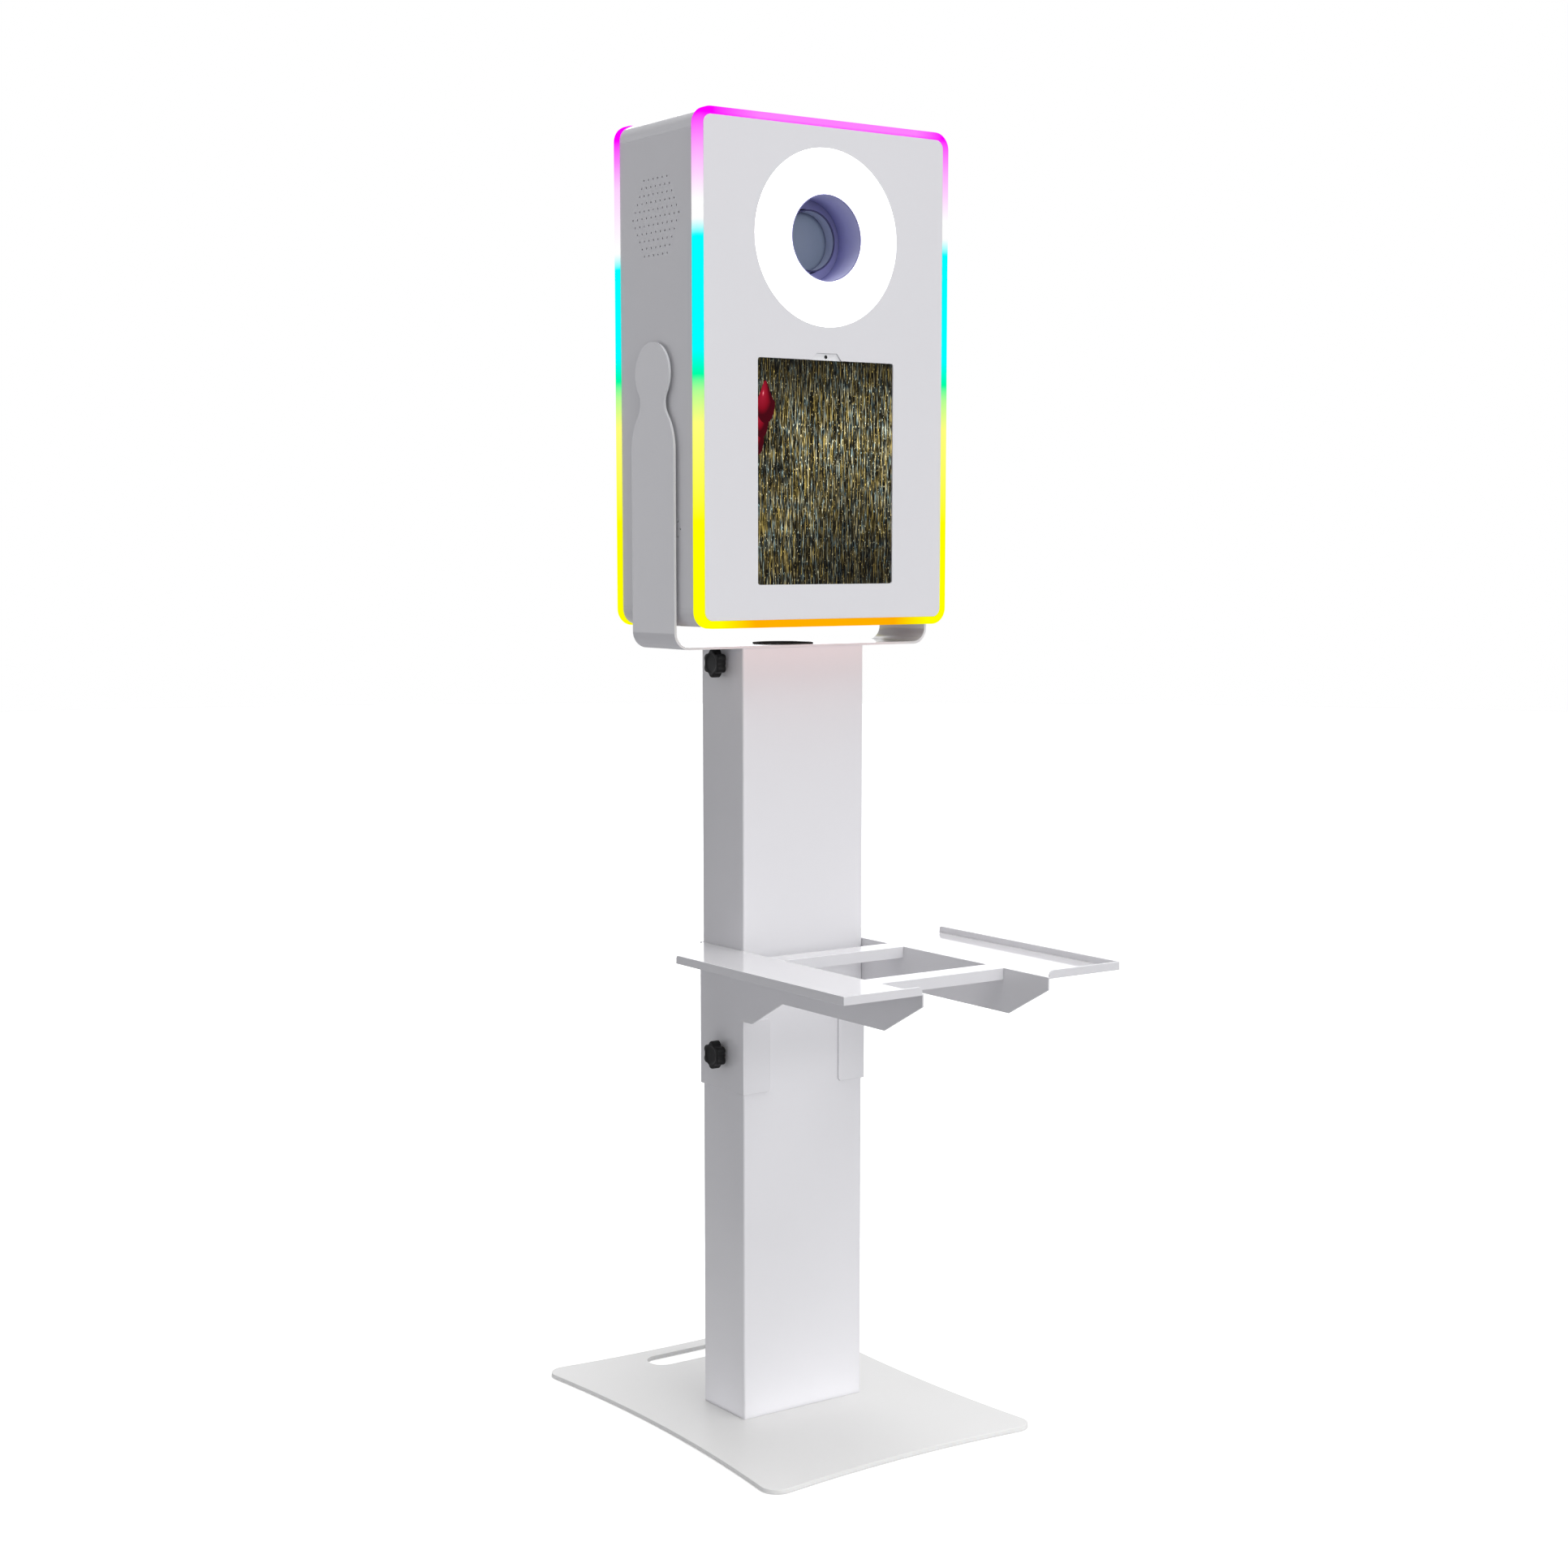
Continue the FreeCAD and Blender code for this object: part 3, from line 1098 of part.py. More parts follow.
def knob_grip(x_face, z):
    """Six-lobed star grip with a dished face."""
    back = x_face - KNOB_BOSS - KNOB_GAP
    out = V(-1, 0, 0)
    grip = rod(back, 0, z, out, KNOB_R, KNOB_T)
    valleys = []
    for i in range(KNOB_LOBES):
        angle = math.pi * (2 * i + 1) / KNOB_LOBES + math.pi / 2
        valleys.append(rod(back + 1, VALLEY_AT * math.cos(angle), z + VALLEY_AT * math.sin(angle),
                           out, VALLEY_R, KNOB_T + 2))
    grip = grip.cut(Part.makeCompound(valleys))
    rims = edges_at(grip, X_AXIS, back) + edges_at(grip, X_AXIS, back - KNOB_T)
    grip = grip.makeFillet(KNOB_EDGE_R, rims)
    dish = rod(back - KNOB_T + KNOB_DISH_D, 0, z, out, KNOB_DISH_R, 2 * KNOB_DISH_D)
    bore = rod(back, 0, z, out, KNOB_STUD_R + RUN_GAP, KNOB_T * KNOB_GRIP_SHARE)
    return grip.cut(dish).cut(bore)


def main():
    os.makedirs("parts", exist_ok=True)
    save("base_plate", base_plate())
    save("base_pads", base_pads())
    save("column", column())
    save("column_foot", column_foot())
    save("base_bolts", base_bolts())
    save("mast_guide", mast_guide())
    save("cable_exit_grommet", cable_exit_grommet())
    save("upper_knob_boss", knob_boss(-COL_X, UPPER_KNOB_Z))

    save("upper_knob_stud", knob_stud(-COL_X, -MAST_W / 2 - SLIDE_GAP, UPPER_KNOB_Z))
    save("upper_knob_grip", knob_grip(-COL_X, UPPER_KNOB_Z))

    save("mast_tube", mast_tube())
    save("mast_slider", mast_slider())
    save("mast_top_plate", mast_top_plate())
    save("yoke", yoke())
    save("yoke_screws", yoke_screws())
    save("cable_grommet", cable_grommet())
    save("pivot_studs", pivot_studs())
    save("pivot_nuts", pivot_nuts())

    save("top_cover", top_cover())
    save("bottom_cover", bottom_cover())
    side = left_side_panel()
    save("left_side_panel", side)
    save("right_side_panel", mirrored(side))
    save("front_frame", front_frame())
    save("rear_frame", rear_frame())
    save("front_light_frame", front_light_frame())
    save("rear_light_frame", rear_light_frame())
    save("front_led_strip", front_led_strip())
    save("rear_led_strip", rear_led_strip())
    save("pivot_plates", pivot_plates())
    save("tilt_washers", tilt_washers())
    save("front_panel", front_panel())
    save("ring_light_diffuser", ring_light_diffuser())
    save("ring_light_tray", ring_light_tray())
    save("ring_light_board", ring_light_board())
    save("lens_tunnel", lens_tunnel())
    save("camera_lens", camera_lens())
    save("lens_glass", lens_glass())
    save("camera_body", camera_body())
    save("camera_shelf", camera_shelf())
    save("tablet_body", tablet_body())
    save("tablet_screen", tablet_screen())
    save("tablet_clips", tablet_clips())
    save("power_supply", power_supply())
    save("led_controller", led_controller())
    save("connector_panel", connector_panel())
    save("power_inlet", power_inlet())
    save("switch_housing", switch_housing())
    save("power_rocker", power_rocker())

    save("rear_door", rear_door())
    save("door_hinge_leaf", door_hinge_leaf())
    save("door_hinge_frame", door_hinge_frame())
    save("door_lock", door_lock())
    save("lock_cam", lock_cam())

    save("tray_left_wing", tray_left_wing())
    save("tray_right_wing", tray_right_wing())
    save("tray_back_plate", tray_back_plate())
    save("tray_crossbars", [crossbar(y) for y in BAR_FRONTS])
    save("lower_knob_boss", knob_boss(-BRACKET_OUT, LOWER_KNOB_Z))
    save("lower_knob_stud", knob_stud(-BRACKET_OUT, -COL_X - SLIDE_GAP, LOWER_KNOB_Z))
    save("lower_knob_grip", knob_grip(-BRACKET_OUT, LOWER_KNOB_Z))


main()
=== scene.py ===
import json
import math

import bmesh
import bpy
from mathutils import Matrix, Vector


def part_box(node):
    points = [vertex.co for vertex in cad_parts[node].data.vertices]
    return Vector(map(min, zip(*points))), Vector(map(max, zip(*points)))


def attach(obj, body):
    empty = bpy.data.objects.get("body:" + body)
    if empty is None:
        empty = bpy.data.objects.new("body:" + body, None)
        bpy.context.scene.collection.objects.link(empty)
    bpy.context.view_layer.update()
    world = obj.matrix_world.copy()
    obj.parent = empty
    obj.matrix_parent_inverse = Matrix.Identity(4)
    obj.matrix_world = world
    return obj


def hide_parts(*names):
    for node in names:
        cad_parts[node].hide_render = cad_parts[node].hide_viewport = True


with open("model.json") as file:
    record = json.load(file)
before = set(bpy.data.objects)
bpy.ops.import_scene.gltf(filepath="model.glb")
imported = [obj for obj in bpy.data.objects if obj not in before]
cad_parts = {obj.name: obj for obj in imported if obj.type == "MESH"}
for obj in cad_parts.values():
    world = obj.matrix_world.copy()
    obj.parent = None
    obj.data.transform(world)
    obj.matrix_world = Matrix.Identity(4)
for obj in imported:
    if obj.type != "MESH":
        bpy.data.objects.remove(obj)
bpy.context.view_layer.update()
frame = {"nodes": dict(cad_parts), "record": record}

# The photo booth's looks, built around its CAD frame. Metres; the front faces -Y, +Z is up.

MM = 0.001
NODES = frame["nodes"]

# The viewpoint: a 36 mm wide sensor in front of the booth's left corner, at chest height
LENS_MM = 57.32
SENSOR_WIDTH_MM = 36.0
FRAME_SHIFT = 0.0448
VIEW_PLACE = (-1.773, -2.5262, 1.0892)
VIEW_DIP = 7.0                 # degrees below level
VIEW_HEADING = -35.09          # degrees, from straight ahead to the right

# The room's glow, and the bright wall low behind the booth
ROOM_GLOW = 0.29
WALL_GLOW = 1.5
FLOOR_GLOW = 0.35


def middle(node):
    low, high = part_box(node)
    return (low + high) / 2


# ---------------------------------------------------------------- places taken from the frame

HEAD_LOW, HEAD_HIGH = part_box("front_light_frame")
RING_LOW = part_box("ring_light_diffuser")[0]
LENS_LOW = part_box("camera_lens")[0]
LENS_X, LENS_Z = middle("camera_lens").x, middle("camera_lens").z
SCREEN_LOW, SCREEN_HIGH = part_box("tablet_screen")
TUNNEL_DEPTH = 46.0 * MM       # from the ring light's face to the back of the sleeve
HOOD_DEPTH = 20.0 * MM         # from the lens's mouth to its glass
GLASS_RADIUS = 34.5 * MM


# ---------------------------------------------------------------- node groups

def group_socket(group, name, kind, way, value=None):
    socket = group.interface.new_socket(name=name, in_out=way, socket_type=kind)
    if value is not None:
        socket.default_value = value
    return socket


class Tree:
    """A thin hand for wiring shader nodes."""

    def __init__(self, tree):
        self.tree = tree

    def add(self, kind, values=None, links=None, **props):
        node = self.tree.nodes.new(kind)
        for key, value in props.items():
            setattr(node, key, value)
        for key, value in (values or {}).items():
            node.inputs[key].default_value = value
        for key, source in (links or {}).items():
            self.tree.links.new(source, node.inputs[key])
        return node

    def math(self, operation, a, b=None):
        node = self.tree.nodes.new("ShaderNodeMath")
        node.operation = operation
        for index, value in enumerate((a, b)):
            if value is None:
                continue
            if isinstance(value, (int, float)):
                node.inputs[index].default_value = value
            else:
                self.tree.links.new(value, node.inputs[index])
        return node.outputs[0]

    def noise(self, vector, scale, detail=3.0, roughness=0.55):
        node = self.add("ShaderNodeTexNoise", {"Scale": scale, "Detail": detail, "Roughness": roughness},
                        {"Vector": vector})
        return node.outputs["Fac"]

    def stretched(self, vector, scale):
        """A place scaled along each axis, so that a pattern runs in streaks."""
        return self.add("ShaderNodeMapping", {"Scale": scale}, {"Vector": vector}).outputs[0]

    def remap(self, value, low, high, out_low, out_high):
        """A value carried from one range to another, and held at its ends."""
        return self.add("ShaderNodeMapRange", {"From Min": low, "From Max": high, "To Min": out_low,
                                               "To Max": out_high}, {"Value": value}).outputs[0]

    def ramp(self, value, stops):
        """A colour run through (place, colour) stops."""
        node = self.add("ShaderNodeValToRGB", None, {"Fac": value})
        elements = node.color_ramp.elements
        while len(elements) < len(stops):
            elements.new(0.5)
        for element, (place, colour) in zip(elements, stops):
            element.position = place
        for element, (place, colour) in zip(elements, stops):
            element.color = (*colour, 1.0)
        return node.outputs["Color"]

    def mix(self, factor, a, b):
        """Colour a where the factor is 0, colour b where it is 1."""
        node = self.tree.nodes.new("ShaderNodeMix")
        node.data_type = "RGBA"
        for key, value in ((0, factor), (6, a), (7, b)):
            if isinstance(value, (int, float)):
                node.inputs[key].default_value = value
            elif isinstance(value, tuple):
                node.inputs[key].default_value = (*value, 1.0)
            else:
                self.tree.links.new(value, node.inputs[key])
        return node.outputs[2]


def powder_coat_group():
    """Sprayed and baked paint: fine orange peel, slow drift in tone, soft smudges in the gloss."""
    group = bpy.data.node_groups.new("powder_coat", "ShaderNodeTree")
    group_socket(group, "Tone", "NodeSocketColor", "INPUT", (0.8, 0.8, 0.8, 1))
    group_socket(group, "Gloss", "NodeSocketFloat", "INPUT", 0.3)
    group_socket(group, "Peel Scale", "NodeSocketFloat", "INPUT", 420.0)
    group_socket(group, "Color", "NodeSocketColor", "OUTPUT")
    group_socket(group, "Roughness", "NodeSocketFloat", "OUTPUT")
    group_socket(group, "Height", "NodeSocketFloat", "OUTPUT")
    t = Tree(group)
    given = t.add("NodeGroupInput")
    out = t.add("NodeGroupOutput")
    place = t.add("ShaderNodeTexCoord").outputs["Object"]
    peel = t.add("ShaderNodeTexNoise", {"Detail": 2.0},
                 {"Vector": place, "Scale": given.outputs["Peel Scale"]})
    drift = t.noise(place, 2.3, 3.0)
    smudge = t.noise(place, 5.0, 2.0, 0.5)
    tone = t.remap(drift, 0.3, 0.7, 0.985, 1.0)
    tinted = t.add("ShaderNodeVectorMath", None, {0: given.outputs["Tone"], 1: tone}, operation="MULTIPLY")
    rough = t.math("ADD", given.outputs["Gloss"], t.remap(smudge, 0.3, 0.75, -0.02, 0.03))
    group.links.new(tinted.outputs[0], out.inputs["Color"])
    group.links.new(rough, out.inputs["Roughness"])
    group.links.new(peel.outputs["Fac"], out.inputs["Height"])
    return group


def moulded_grain_group():
    """Spark-eroded plastic skin: tight pebble grain with a faint bloom."""
    group = bpy.data.node_groups.new("moulded_grain", "ShaderNodeTree")
    group_socket(group, "Tone", "NodeSocketColor", "INPUT", (0.03, 0.03, 0.03, 1))
    group_socket(group, "Bloom", "NodeSocketColor", "INPUT", (0.08, 0.08, 0.08, 1))
    group_socket(group, "Grain Scale", "NodeSocketFloat", "INPUT", 1400.0)
    group_socket(group, "Matt", "NodeSocketFloat", "INPUT", 0.45)
    group_socket(group, "Color", "NodeSocketColor", "OUTPUT")
    group_socket(group, "Roughness", "NodeSocketFloat", "OUTPUT")
    group_socket(group, "Height", "NodeSocketFloat", "OUTPUT")
    t = Tree(group)
    given = t.add("NodeGroupInput")
    out = t.add("NodeGroupOutput")
    place = t.add("ShaderNodeTexCoord").outputs["Object"]
    pebbles = t.add("ShaderNodeTexVoronoi", {"Randomness": 1.0},
                    {"Vector": place, "Scale": given.outputs["Grain Scale"]}, feature="SMOOTH_F1")
    haze = t.noise(place, 35.0, 4.0)
    mask = t.remap(haze, 0.42, 0.8, 0.0, 0.35)
    blend = t.mix(mask, given.outputs["Tone"], given.outputs["Bloom"])
    rough = t.math("ADD", given.outputs["Matt"], t.remap(haze, 0.3, 0.8, -0.05, 0.12))
    group.links.new(blend, out.inputs["Color"])
    group.links.new(rough, out.inputs["Roughness"])
    group.links.new(pebbles.outputs["Distance"], out.inputs["Height"])
    return group


def drawn_metal_group():
    """Plated or rolled metal: long fine draw lines and cloudy oxide."""
    group = bpy.data.node_groups.new("drawn_metal", "ShaderNodeTree")
    group_socket(group, "Light", "NodeSocketColor", "INPUT", (0.7, 0.7, 0.7, 1))
    group_socket(group, "Dark", "NodeSocketColor", "INPUT", (0.5, 0.5, 0.5, 1))
    group_socket(group, "Dullness", "NodeSocketFloat", "INPUT", 0.3)
    group_socket(group, "Color", "NodeSocketColor", "OUTPUT")
    group_socket(group, "Roughness", "NodeSocketFloat", "OUTPUT")
    group_socket(group, "Height", "NodeSocketFloat", "OUTPUT")
    t = Tree(group)
    given = t.add("NodeGroupInput")
    out = t.add("NodeGroupOutput")
    place = t.add("ShaderNodeTexCoord").outputs["Object"]
    lines = t.noise(t.stretched(place, (900.0, 900.0, 25.0)), 1.0, 3.0)
    cloud = t.noise(place, 60.0, 4.0)
    blend = t.mix(t.remap(cloud, 0.35, 0.7, 0.0, 1.0), given.outputs["Light"], given.outputs["Dark"])
    rough = t.math("ADD", given.outputs["Dullness"], t.remap(lines, 0.3, 0.7, -0.06, 0.1))
    group.links.new(blend, out.inputs["Color"])
    group.links.new(rough, out.inputs["Roughness"])
    group.links.new(lines, out.inputs["Height"])
    return group


POWDER_COAT = powder_coat_group()
MOULDED_GRAIN = moulded_grain_group()
DRAWN_METAL = drawn_metal_group()


# ---------------------------------------------------------------- materials

def blank_material(name):
    material = bpy.data.materials.new(name)
    material.use_nodes = True
    t = Tree(material.node_tree)
    shader = material.node_tree.nodes["Principled BSDF"]
    return material, t, shader


def surface_from(name, group, settings, bump=0.1, distance=0.0001, **plain):
    """A principled surface whose colour, roughness and fine relief come from one shared group."""
    material, t, shader = blank_material(name)
    source = t.add("ShaderNodeGroup", node_tree=group)
    for key, value in settings.items():
        source.inputs[key].default_value = value
    relief = t.add("ShaderNodeBump", {"Strength": bump, "Distance": distance},
                   {"Height": source.outputs["Height"]})
    t.tree.links.new(source.outputs["Color"], shader.inputs["Base Color"])
    t.tree.links.new(source.outputs["Roughness"], shader.inputs["Roughness"])
    t.tree.links.new(relief.outputs["Normal"], shader.inputs["Normal"])
    for key, value in plain.items():
        shader.inputs[key.replace("_", " ")].default_value = value
    return material


def white_coat():
    return surface_from("white_coat", POWDER_COAT, {"Tone": (0.795, 0.79, 0.815, 1), "Gloss": 0.34,
                                                    "Peel Scale": 420.0},
                        bump=0.02, distance=0.00002, Specular_IOR_Level=0.5)


def tray_coat():
    """The tray's white, with more gloss on its flat tops."""
    return surface_from("tray_coat", POWDER_COAT, {"Tone": (0.795, 0.79, 0.815, 1), "Gloss": 0.10,
                                                   "Peel Scale": 420.0},
                        bump=0.02, distance=0.00002, Specular_IOR_Level=0.6, Coat_Weight=0.6,
                        Coat_Roughness=0.08)


def base_coat():
    """The base plate's white, without the blue cast of the parts above it."""
    return surface_from("base_coat", POWDER_COAT, {"Tone": (0.795, 0.792, 0.782, 1), "Gloss": 0.34,
                                                   "Peel Scale": 420.0},
                        bump=0.02, distance=0.00002, Specular_IOR_Level=0.4)


def panel_coat():
    """The head's front panel: the same white, a shade smoother."""
    return surface_from("panel_coat", POWDER_COAT, {"Tone": (0.78, 0.775, 0.80, 1), "Gloss": 0.37,
                                                    "Peel Scale": 520.0},
                        bump=0.02, distance=0.00002, Specular_IOR_Level=0.45)


def black_plastic():
    return surface_from("black_plastic", MOULDED_GRAIN,
                        {"Tone": (0.005, 0.005, 0.0055, 1), "Bloom": (0.014, 0.014, 0.015, 1),
                         "Grain Scale": 1500.0, "Matt": 0.42}, bump=0.25, distance=0.0001,
                        Specular_IOR_Level=0.28)


def camera_skin():
    return surface_from("camera_skin", MOULDED_GRAIN,
                        {"Tone": (0.014, 0.014, 0.016, 1), "Bloom": (0.035, 0.035, 0.038, 1),
                         "Grain Scale": 900.0, "Matt": 0.5}, bump=0.45, distance=0.0002)


def pad_rubber():
    return surface_from("pad_rubber", MOULDED_GRAIN,
                        {"Tone": (0.018, 0.018, 0.018, 1), "Bloom": (0.06, 0.06, 0.058, 1),
                         "Grain Scale": 600.0, "Matt": 0.7}, bump=0.3, distance=0.0002)


def slide_plastic():
    return surface_from("slide_plastic", MOULDED_GRAIN,
                        {"Tone": (0.62, 0.62, 0.60, 1), "Bloom": (0.5, 0.5, 0.48, 1),
                         "Grain Scale": 700.0, "Matt": 0.4}, bump=0.15, distance=0.0001)


def zinc_plate():
    return surface_from("zinc_plate", DRAWN_METAL,
                        {"Light": (0.62, 0.63, 0.66, 1), "Dark": (0.46, 0.47, 0.50, 1), "Dullness": 0.34},
                        bump=0.15, distance=0.0001, Metallic=1.0)


def polished_plate():
    return surface_from("polished_plate", DRAWN_METAL,
                        {"Light": (0.80, 0.80, 0.82, 1), "Dark": (0.68, 0.68, 0.70, 1), "Dullness": 0.14},
                        bump=0.05, distance=0.00005, Metallic=1.0)


def board_white():
    return surface_from("board_white", POWDER_COAT, {"Tone": (0.75, 0.76, 0.74, 1), "Gloss": 0.4,
                                                     "Peel Scale": 900.0}, bump=0.05)


def tablet_shell():
    return surface_from("tablet_shell", POWDER_COAT, {"Tone": (0.88, 0.88, 0.90, 1), "Gloss": 0.3,
                                                      "Peel Scale": 2500.0},
                        bump=0.04, distance=0.00003)


def tunnel_violet():
    """Violet-tinted sleeve around the lens, with painted shade that darkens it towards its back."""
    material, t, shader = blank_material("tunnel_violet")
    place = t.add("ShaderNodeSeparateXYZ", None,
                  {"Vector": t.add("ShaderNodeTexCoord").outputs["Object"]}).outputs["Y"]
    depth = t.remap(place, RING_LOW.y, RING_LOW.y + TUNNEL_DEPTH, 0.0, 1.0)
    # Painted shade: the violet darkens towards the back of the sleeve, in the shade of the recess.
    colour = t.ramp(depth, [(0.0, (0.10, 0.10, 0.30)), (0.04, (0.72, 0.72, 1.0)), (0.55, (0.62, 0.62, 0.96)),
                            (0.93, (0.38, 0.38, 0.72)), (1.0, (0.05, 0.05, 0.14))])
    haze = t.noise(t.add("ShaderNodeTexCoord").outputs["Object"], 60.0, 4.0)
    t.tree.links.new(colour, shader.inputs["Base Color"])
    t.tree.links.new(t.remap(haze, 0.3, 0.7, 0.28, 0.4), shader.inputs["Roughness"])
    return material


def lens_coating():
    """Coated front element: slate blue glass with a darker rim."""
    material, t, shader = blank_material("lens_coating")
    place = t.add("ShaderNodeTexCoord").outputs["Object"]
    centre = t.add("ShaderNodeVectorMath", {1: (LENS_X, 0.0, LENS_Z)}, {0: place}, operation="SUBTRACT")
    flat = t.add("ShaderNodeVectorMath", {1: (1.0, 0.0, 1.0)}, {0: centre.outputs[0]}, operation="MULTIPLY")
    reach = t.add("ShaderNodeVectorMath", None, {0: flat.outputs[0]}, operation="LENGTH").outputs["Value"]
    rings = t.ramp(t.math("DIVIDE", reach, GLASS_RADIUS),
                   [(0.0, (0.20, 0.24, 0.32)), (0.55, (0.19, 0.23, 0.31)), (0.90, (0.18, 0.22, 0.30)),
                    (0.96, (0.14, 0.17, 0.25)), (1.0, (0.09, 0.11, 0.18))])
    smear = t.noise(place, 12.0, 1.0)
    t.tree.links.new(rings, shader.inputs["Base Color"])
    t.tree.links.new(t.remap(smear, 0.3, 0.7, 0.36, 0.40), shader.inputs["Roughness"])
    shader.inputs["Coat Weight"].default_value = 0.15
    shader.inputs["Coat Roughness"].default_value = 0.30
    shader.inputs["Specular IOR Level"].default_value = 0.35
    return material


def lens_barrel():
    """Lens mount: slate blue inside the hood, painted lighter than its own colour to stand in for light in
    the tunnel's shade, with painted shade towards the glass and a dark navy rim at the mouth.
    """
    material, t, shader = blank_material("lens_barrel")
    place = t.add("ShaderNodeTexCoord").outputs["Object"]
    depth = t.add("ShaderNodeSeparateXYZ", None, {"Vector": place}).outputs["Y"]
    along = t.remap(depth, LENS_LOW.y, LENS_LOW.y + HOOD_DEPTH, 0.0, 1.0)
    # Painted light: the hood's wall is a lighter slate blue than its own colour, for light it lacks. Painted
    # shade darkens it where it meets the glass.
    colour = t.ramp(along, [(0.0, (0.03, 0.03, 0.10)), (0.05, (0.05, 0.05, 0.15)),
                            (0.09, (0.52, 0.57, 0.70)), (0.90, (0.50, 0.55, 0.68)),
                            (0.97, (0.45, 0.50, 0.62)), (1.0, (0.20, 0.24, 0.36))])
    haze = t.noise(place, 90.0, 3.0)
    t.tree.links.new(colour, shader.inputs["Base Color"])
    t.tree.links.new(t.remap(haze, 0.3, 0.7, 0.38, 0.48), shader.inputs["Roughness"])
    return material


def light_disc():
    """Opal ring light, lit evenly."""
    material, t, shader = blank_material("light_disc")
    place = t.add("ShaderNodeTexCoord").outputs["Object"]
    glow = t.ramp(t.noise(place, 30.0, 2.0), [(0.0, (0.99, 0.99, 1.0)), (1.0, (1.0, 1.0, 1.0))])
    shader.inputs["Base Color"].default_value = (0.9, 0.9, 0.9, 1)
    shader.inputs["Roughness"].default_value = 0.35
    t.tree.links.new(glow, shader.inputs["Emission Color"])
    shader.inputs["Emission Strength"].default_value = 1.6
    return material


MAGENTA = (1.0, 0.0, 1.0)
ORCHID = (1.0, 0.22, 1.0)
BLUSH = (1.0, 0.66, 1.0)
WHITE = (1.0, 1.0, 1.0)
CYAN = (0.0, 1.0, 1.0)
MINT = (0.0, 1.0, 0.35)
LIME = (0.45, 1.0, 0.30)
LEMON = (1.0, 1.0, 0.20)
YELLOW = (1.0, 1.0, 0.0)
ORANGE = (1.0, 0.43, 0.0)


def edge_light(name, magenta_to, white_at, cyan_at):
    """Edge light frame: a colour run down the sides, with its own runs along the top and the bottom.

    The places where the run leaves magenta, turns white and turns cyan are shares of the head's height.
    """
    material, t, shader = blank_material(name)
    parts = t.add("ShaderNodeSeparateXYZ", None, {"Vector": t.add("ShaderNodeTexCoord").outputs["Object"]})
    x, z = parts.outputs["X"], parts.outputs["Z"]
    drop = t.remap(z, HEAD_HIGH.z, HEAD_LOW.z, 0.0, 1.0)
    side = t.ramp(drop, [(0.0, MAGENTA), (magenta_to, MAGENTA), (magenta_to + 0.04, ORCHID), (0.128, BLUSH),
                         (white_at, WHITE), (cyan_at - 0.03, WHITE), (cyan_at, CYAN), (0.46, CYAN),
                         (0.51, MINT), (0.54, LIME), (0.60, LEMON), (0.79, YELLOW), (1.0, YELLOW)])
    across = t.remap(x, HEAD_LOW.x, HEAD_HIGH.x, 0.0, 1.0)
    top = t.ramp(across, [(0.0, MAGENTA), (0.06, MAGENTA), (0.24, ORCHID), (0.86, ORCHID), (0.97, MAGENTA)])
    bottom = t.ramp(across, [(0.0, YELLOW), (0.08, YELLOW), (0.22, ORANGE), (0.78, ORANGE), (0.92, YELLOW),
                             (1.0, YELLOW)])
    at_top = t.remap(z, HEAD_HIGH.z - 12.0 * MM, HEAD_HIGH.z - 6.0 * MM, 0.0, 1.0)
    at_bottom = t.remap(z, HEAD_LOW.z + 12.0 * MM, HEAD_LOW.z + 16.0 * MM, 1.0, 0.0)
    colour = t.mix(at_bottom, t.mix(at_top, side, top), bottom)
    shader.inputs["Base Color"].default_value = (0.0, 0.0, 0.0, 1)
    t.tree.links.new(colour, shader.inputs["Emission Color"])
    shader.inputs["Emission Strength"].default_value = 1.0
    shader.inputs["Roughness"].default_value = 0.5
    shader.inputs["Specular IOR Level"].default_value = 0.0
    return material


# Balloons on the display, in mm: middle from its left edge and from its top, half width, half height
BALLOONS = ((1.0, 92.0, 9.0, 21.0), (6.0, 74.0, 10.0, 19.0), (12.0, 51.0, 14.0, 25.0))


def balloon_mask(t, x, z, centre_x, centre_z, radius_x, radius_z):
    """One where the point is inside a teardrop with its tip up, and how far it is from the highlight."""
    dz = t.math("DIVIDE", t.math("SUBTRACT", z, centre_z), radius_z)
    dx = t.math("MULTIPLY", t.math("DIVIDE", t.math("SUBTRACT", x, centre_x), radius_x),
                t.remap(dz, 0.0, 1.0, 1.0, 2.6))
    reach = t.math("ADD", t.math("MULTIPLY", dx, dx), t.math("MULTIPLY", dz, dz))
    inside = t.remap(reach, 0.95, 1.0, 1.0, 0.0)
    shine_x = t.math("ADD", dx, 0.35)
    shine_z = t.math("SUBTRACT", dz, 0.4)
    shine = t.math("ADD", t.math("MULTIPLY", shine_x, shine_x), t.math("MULTIPLY", shine_z, shine_z))
    return inside, t.math("SQRT", shine)


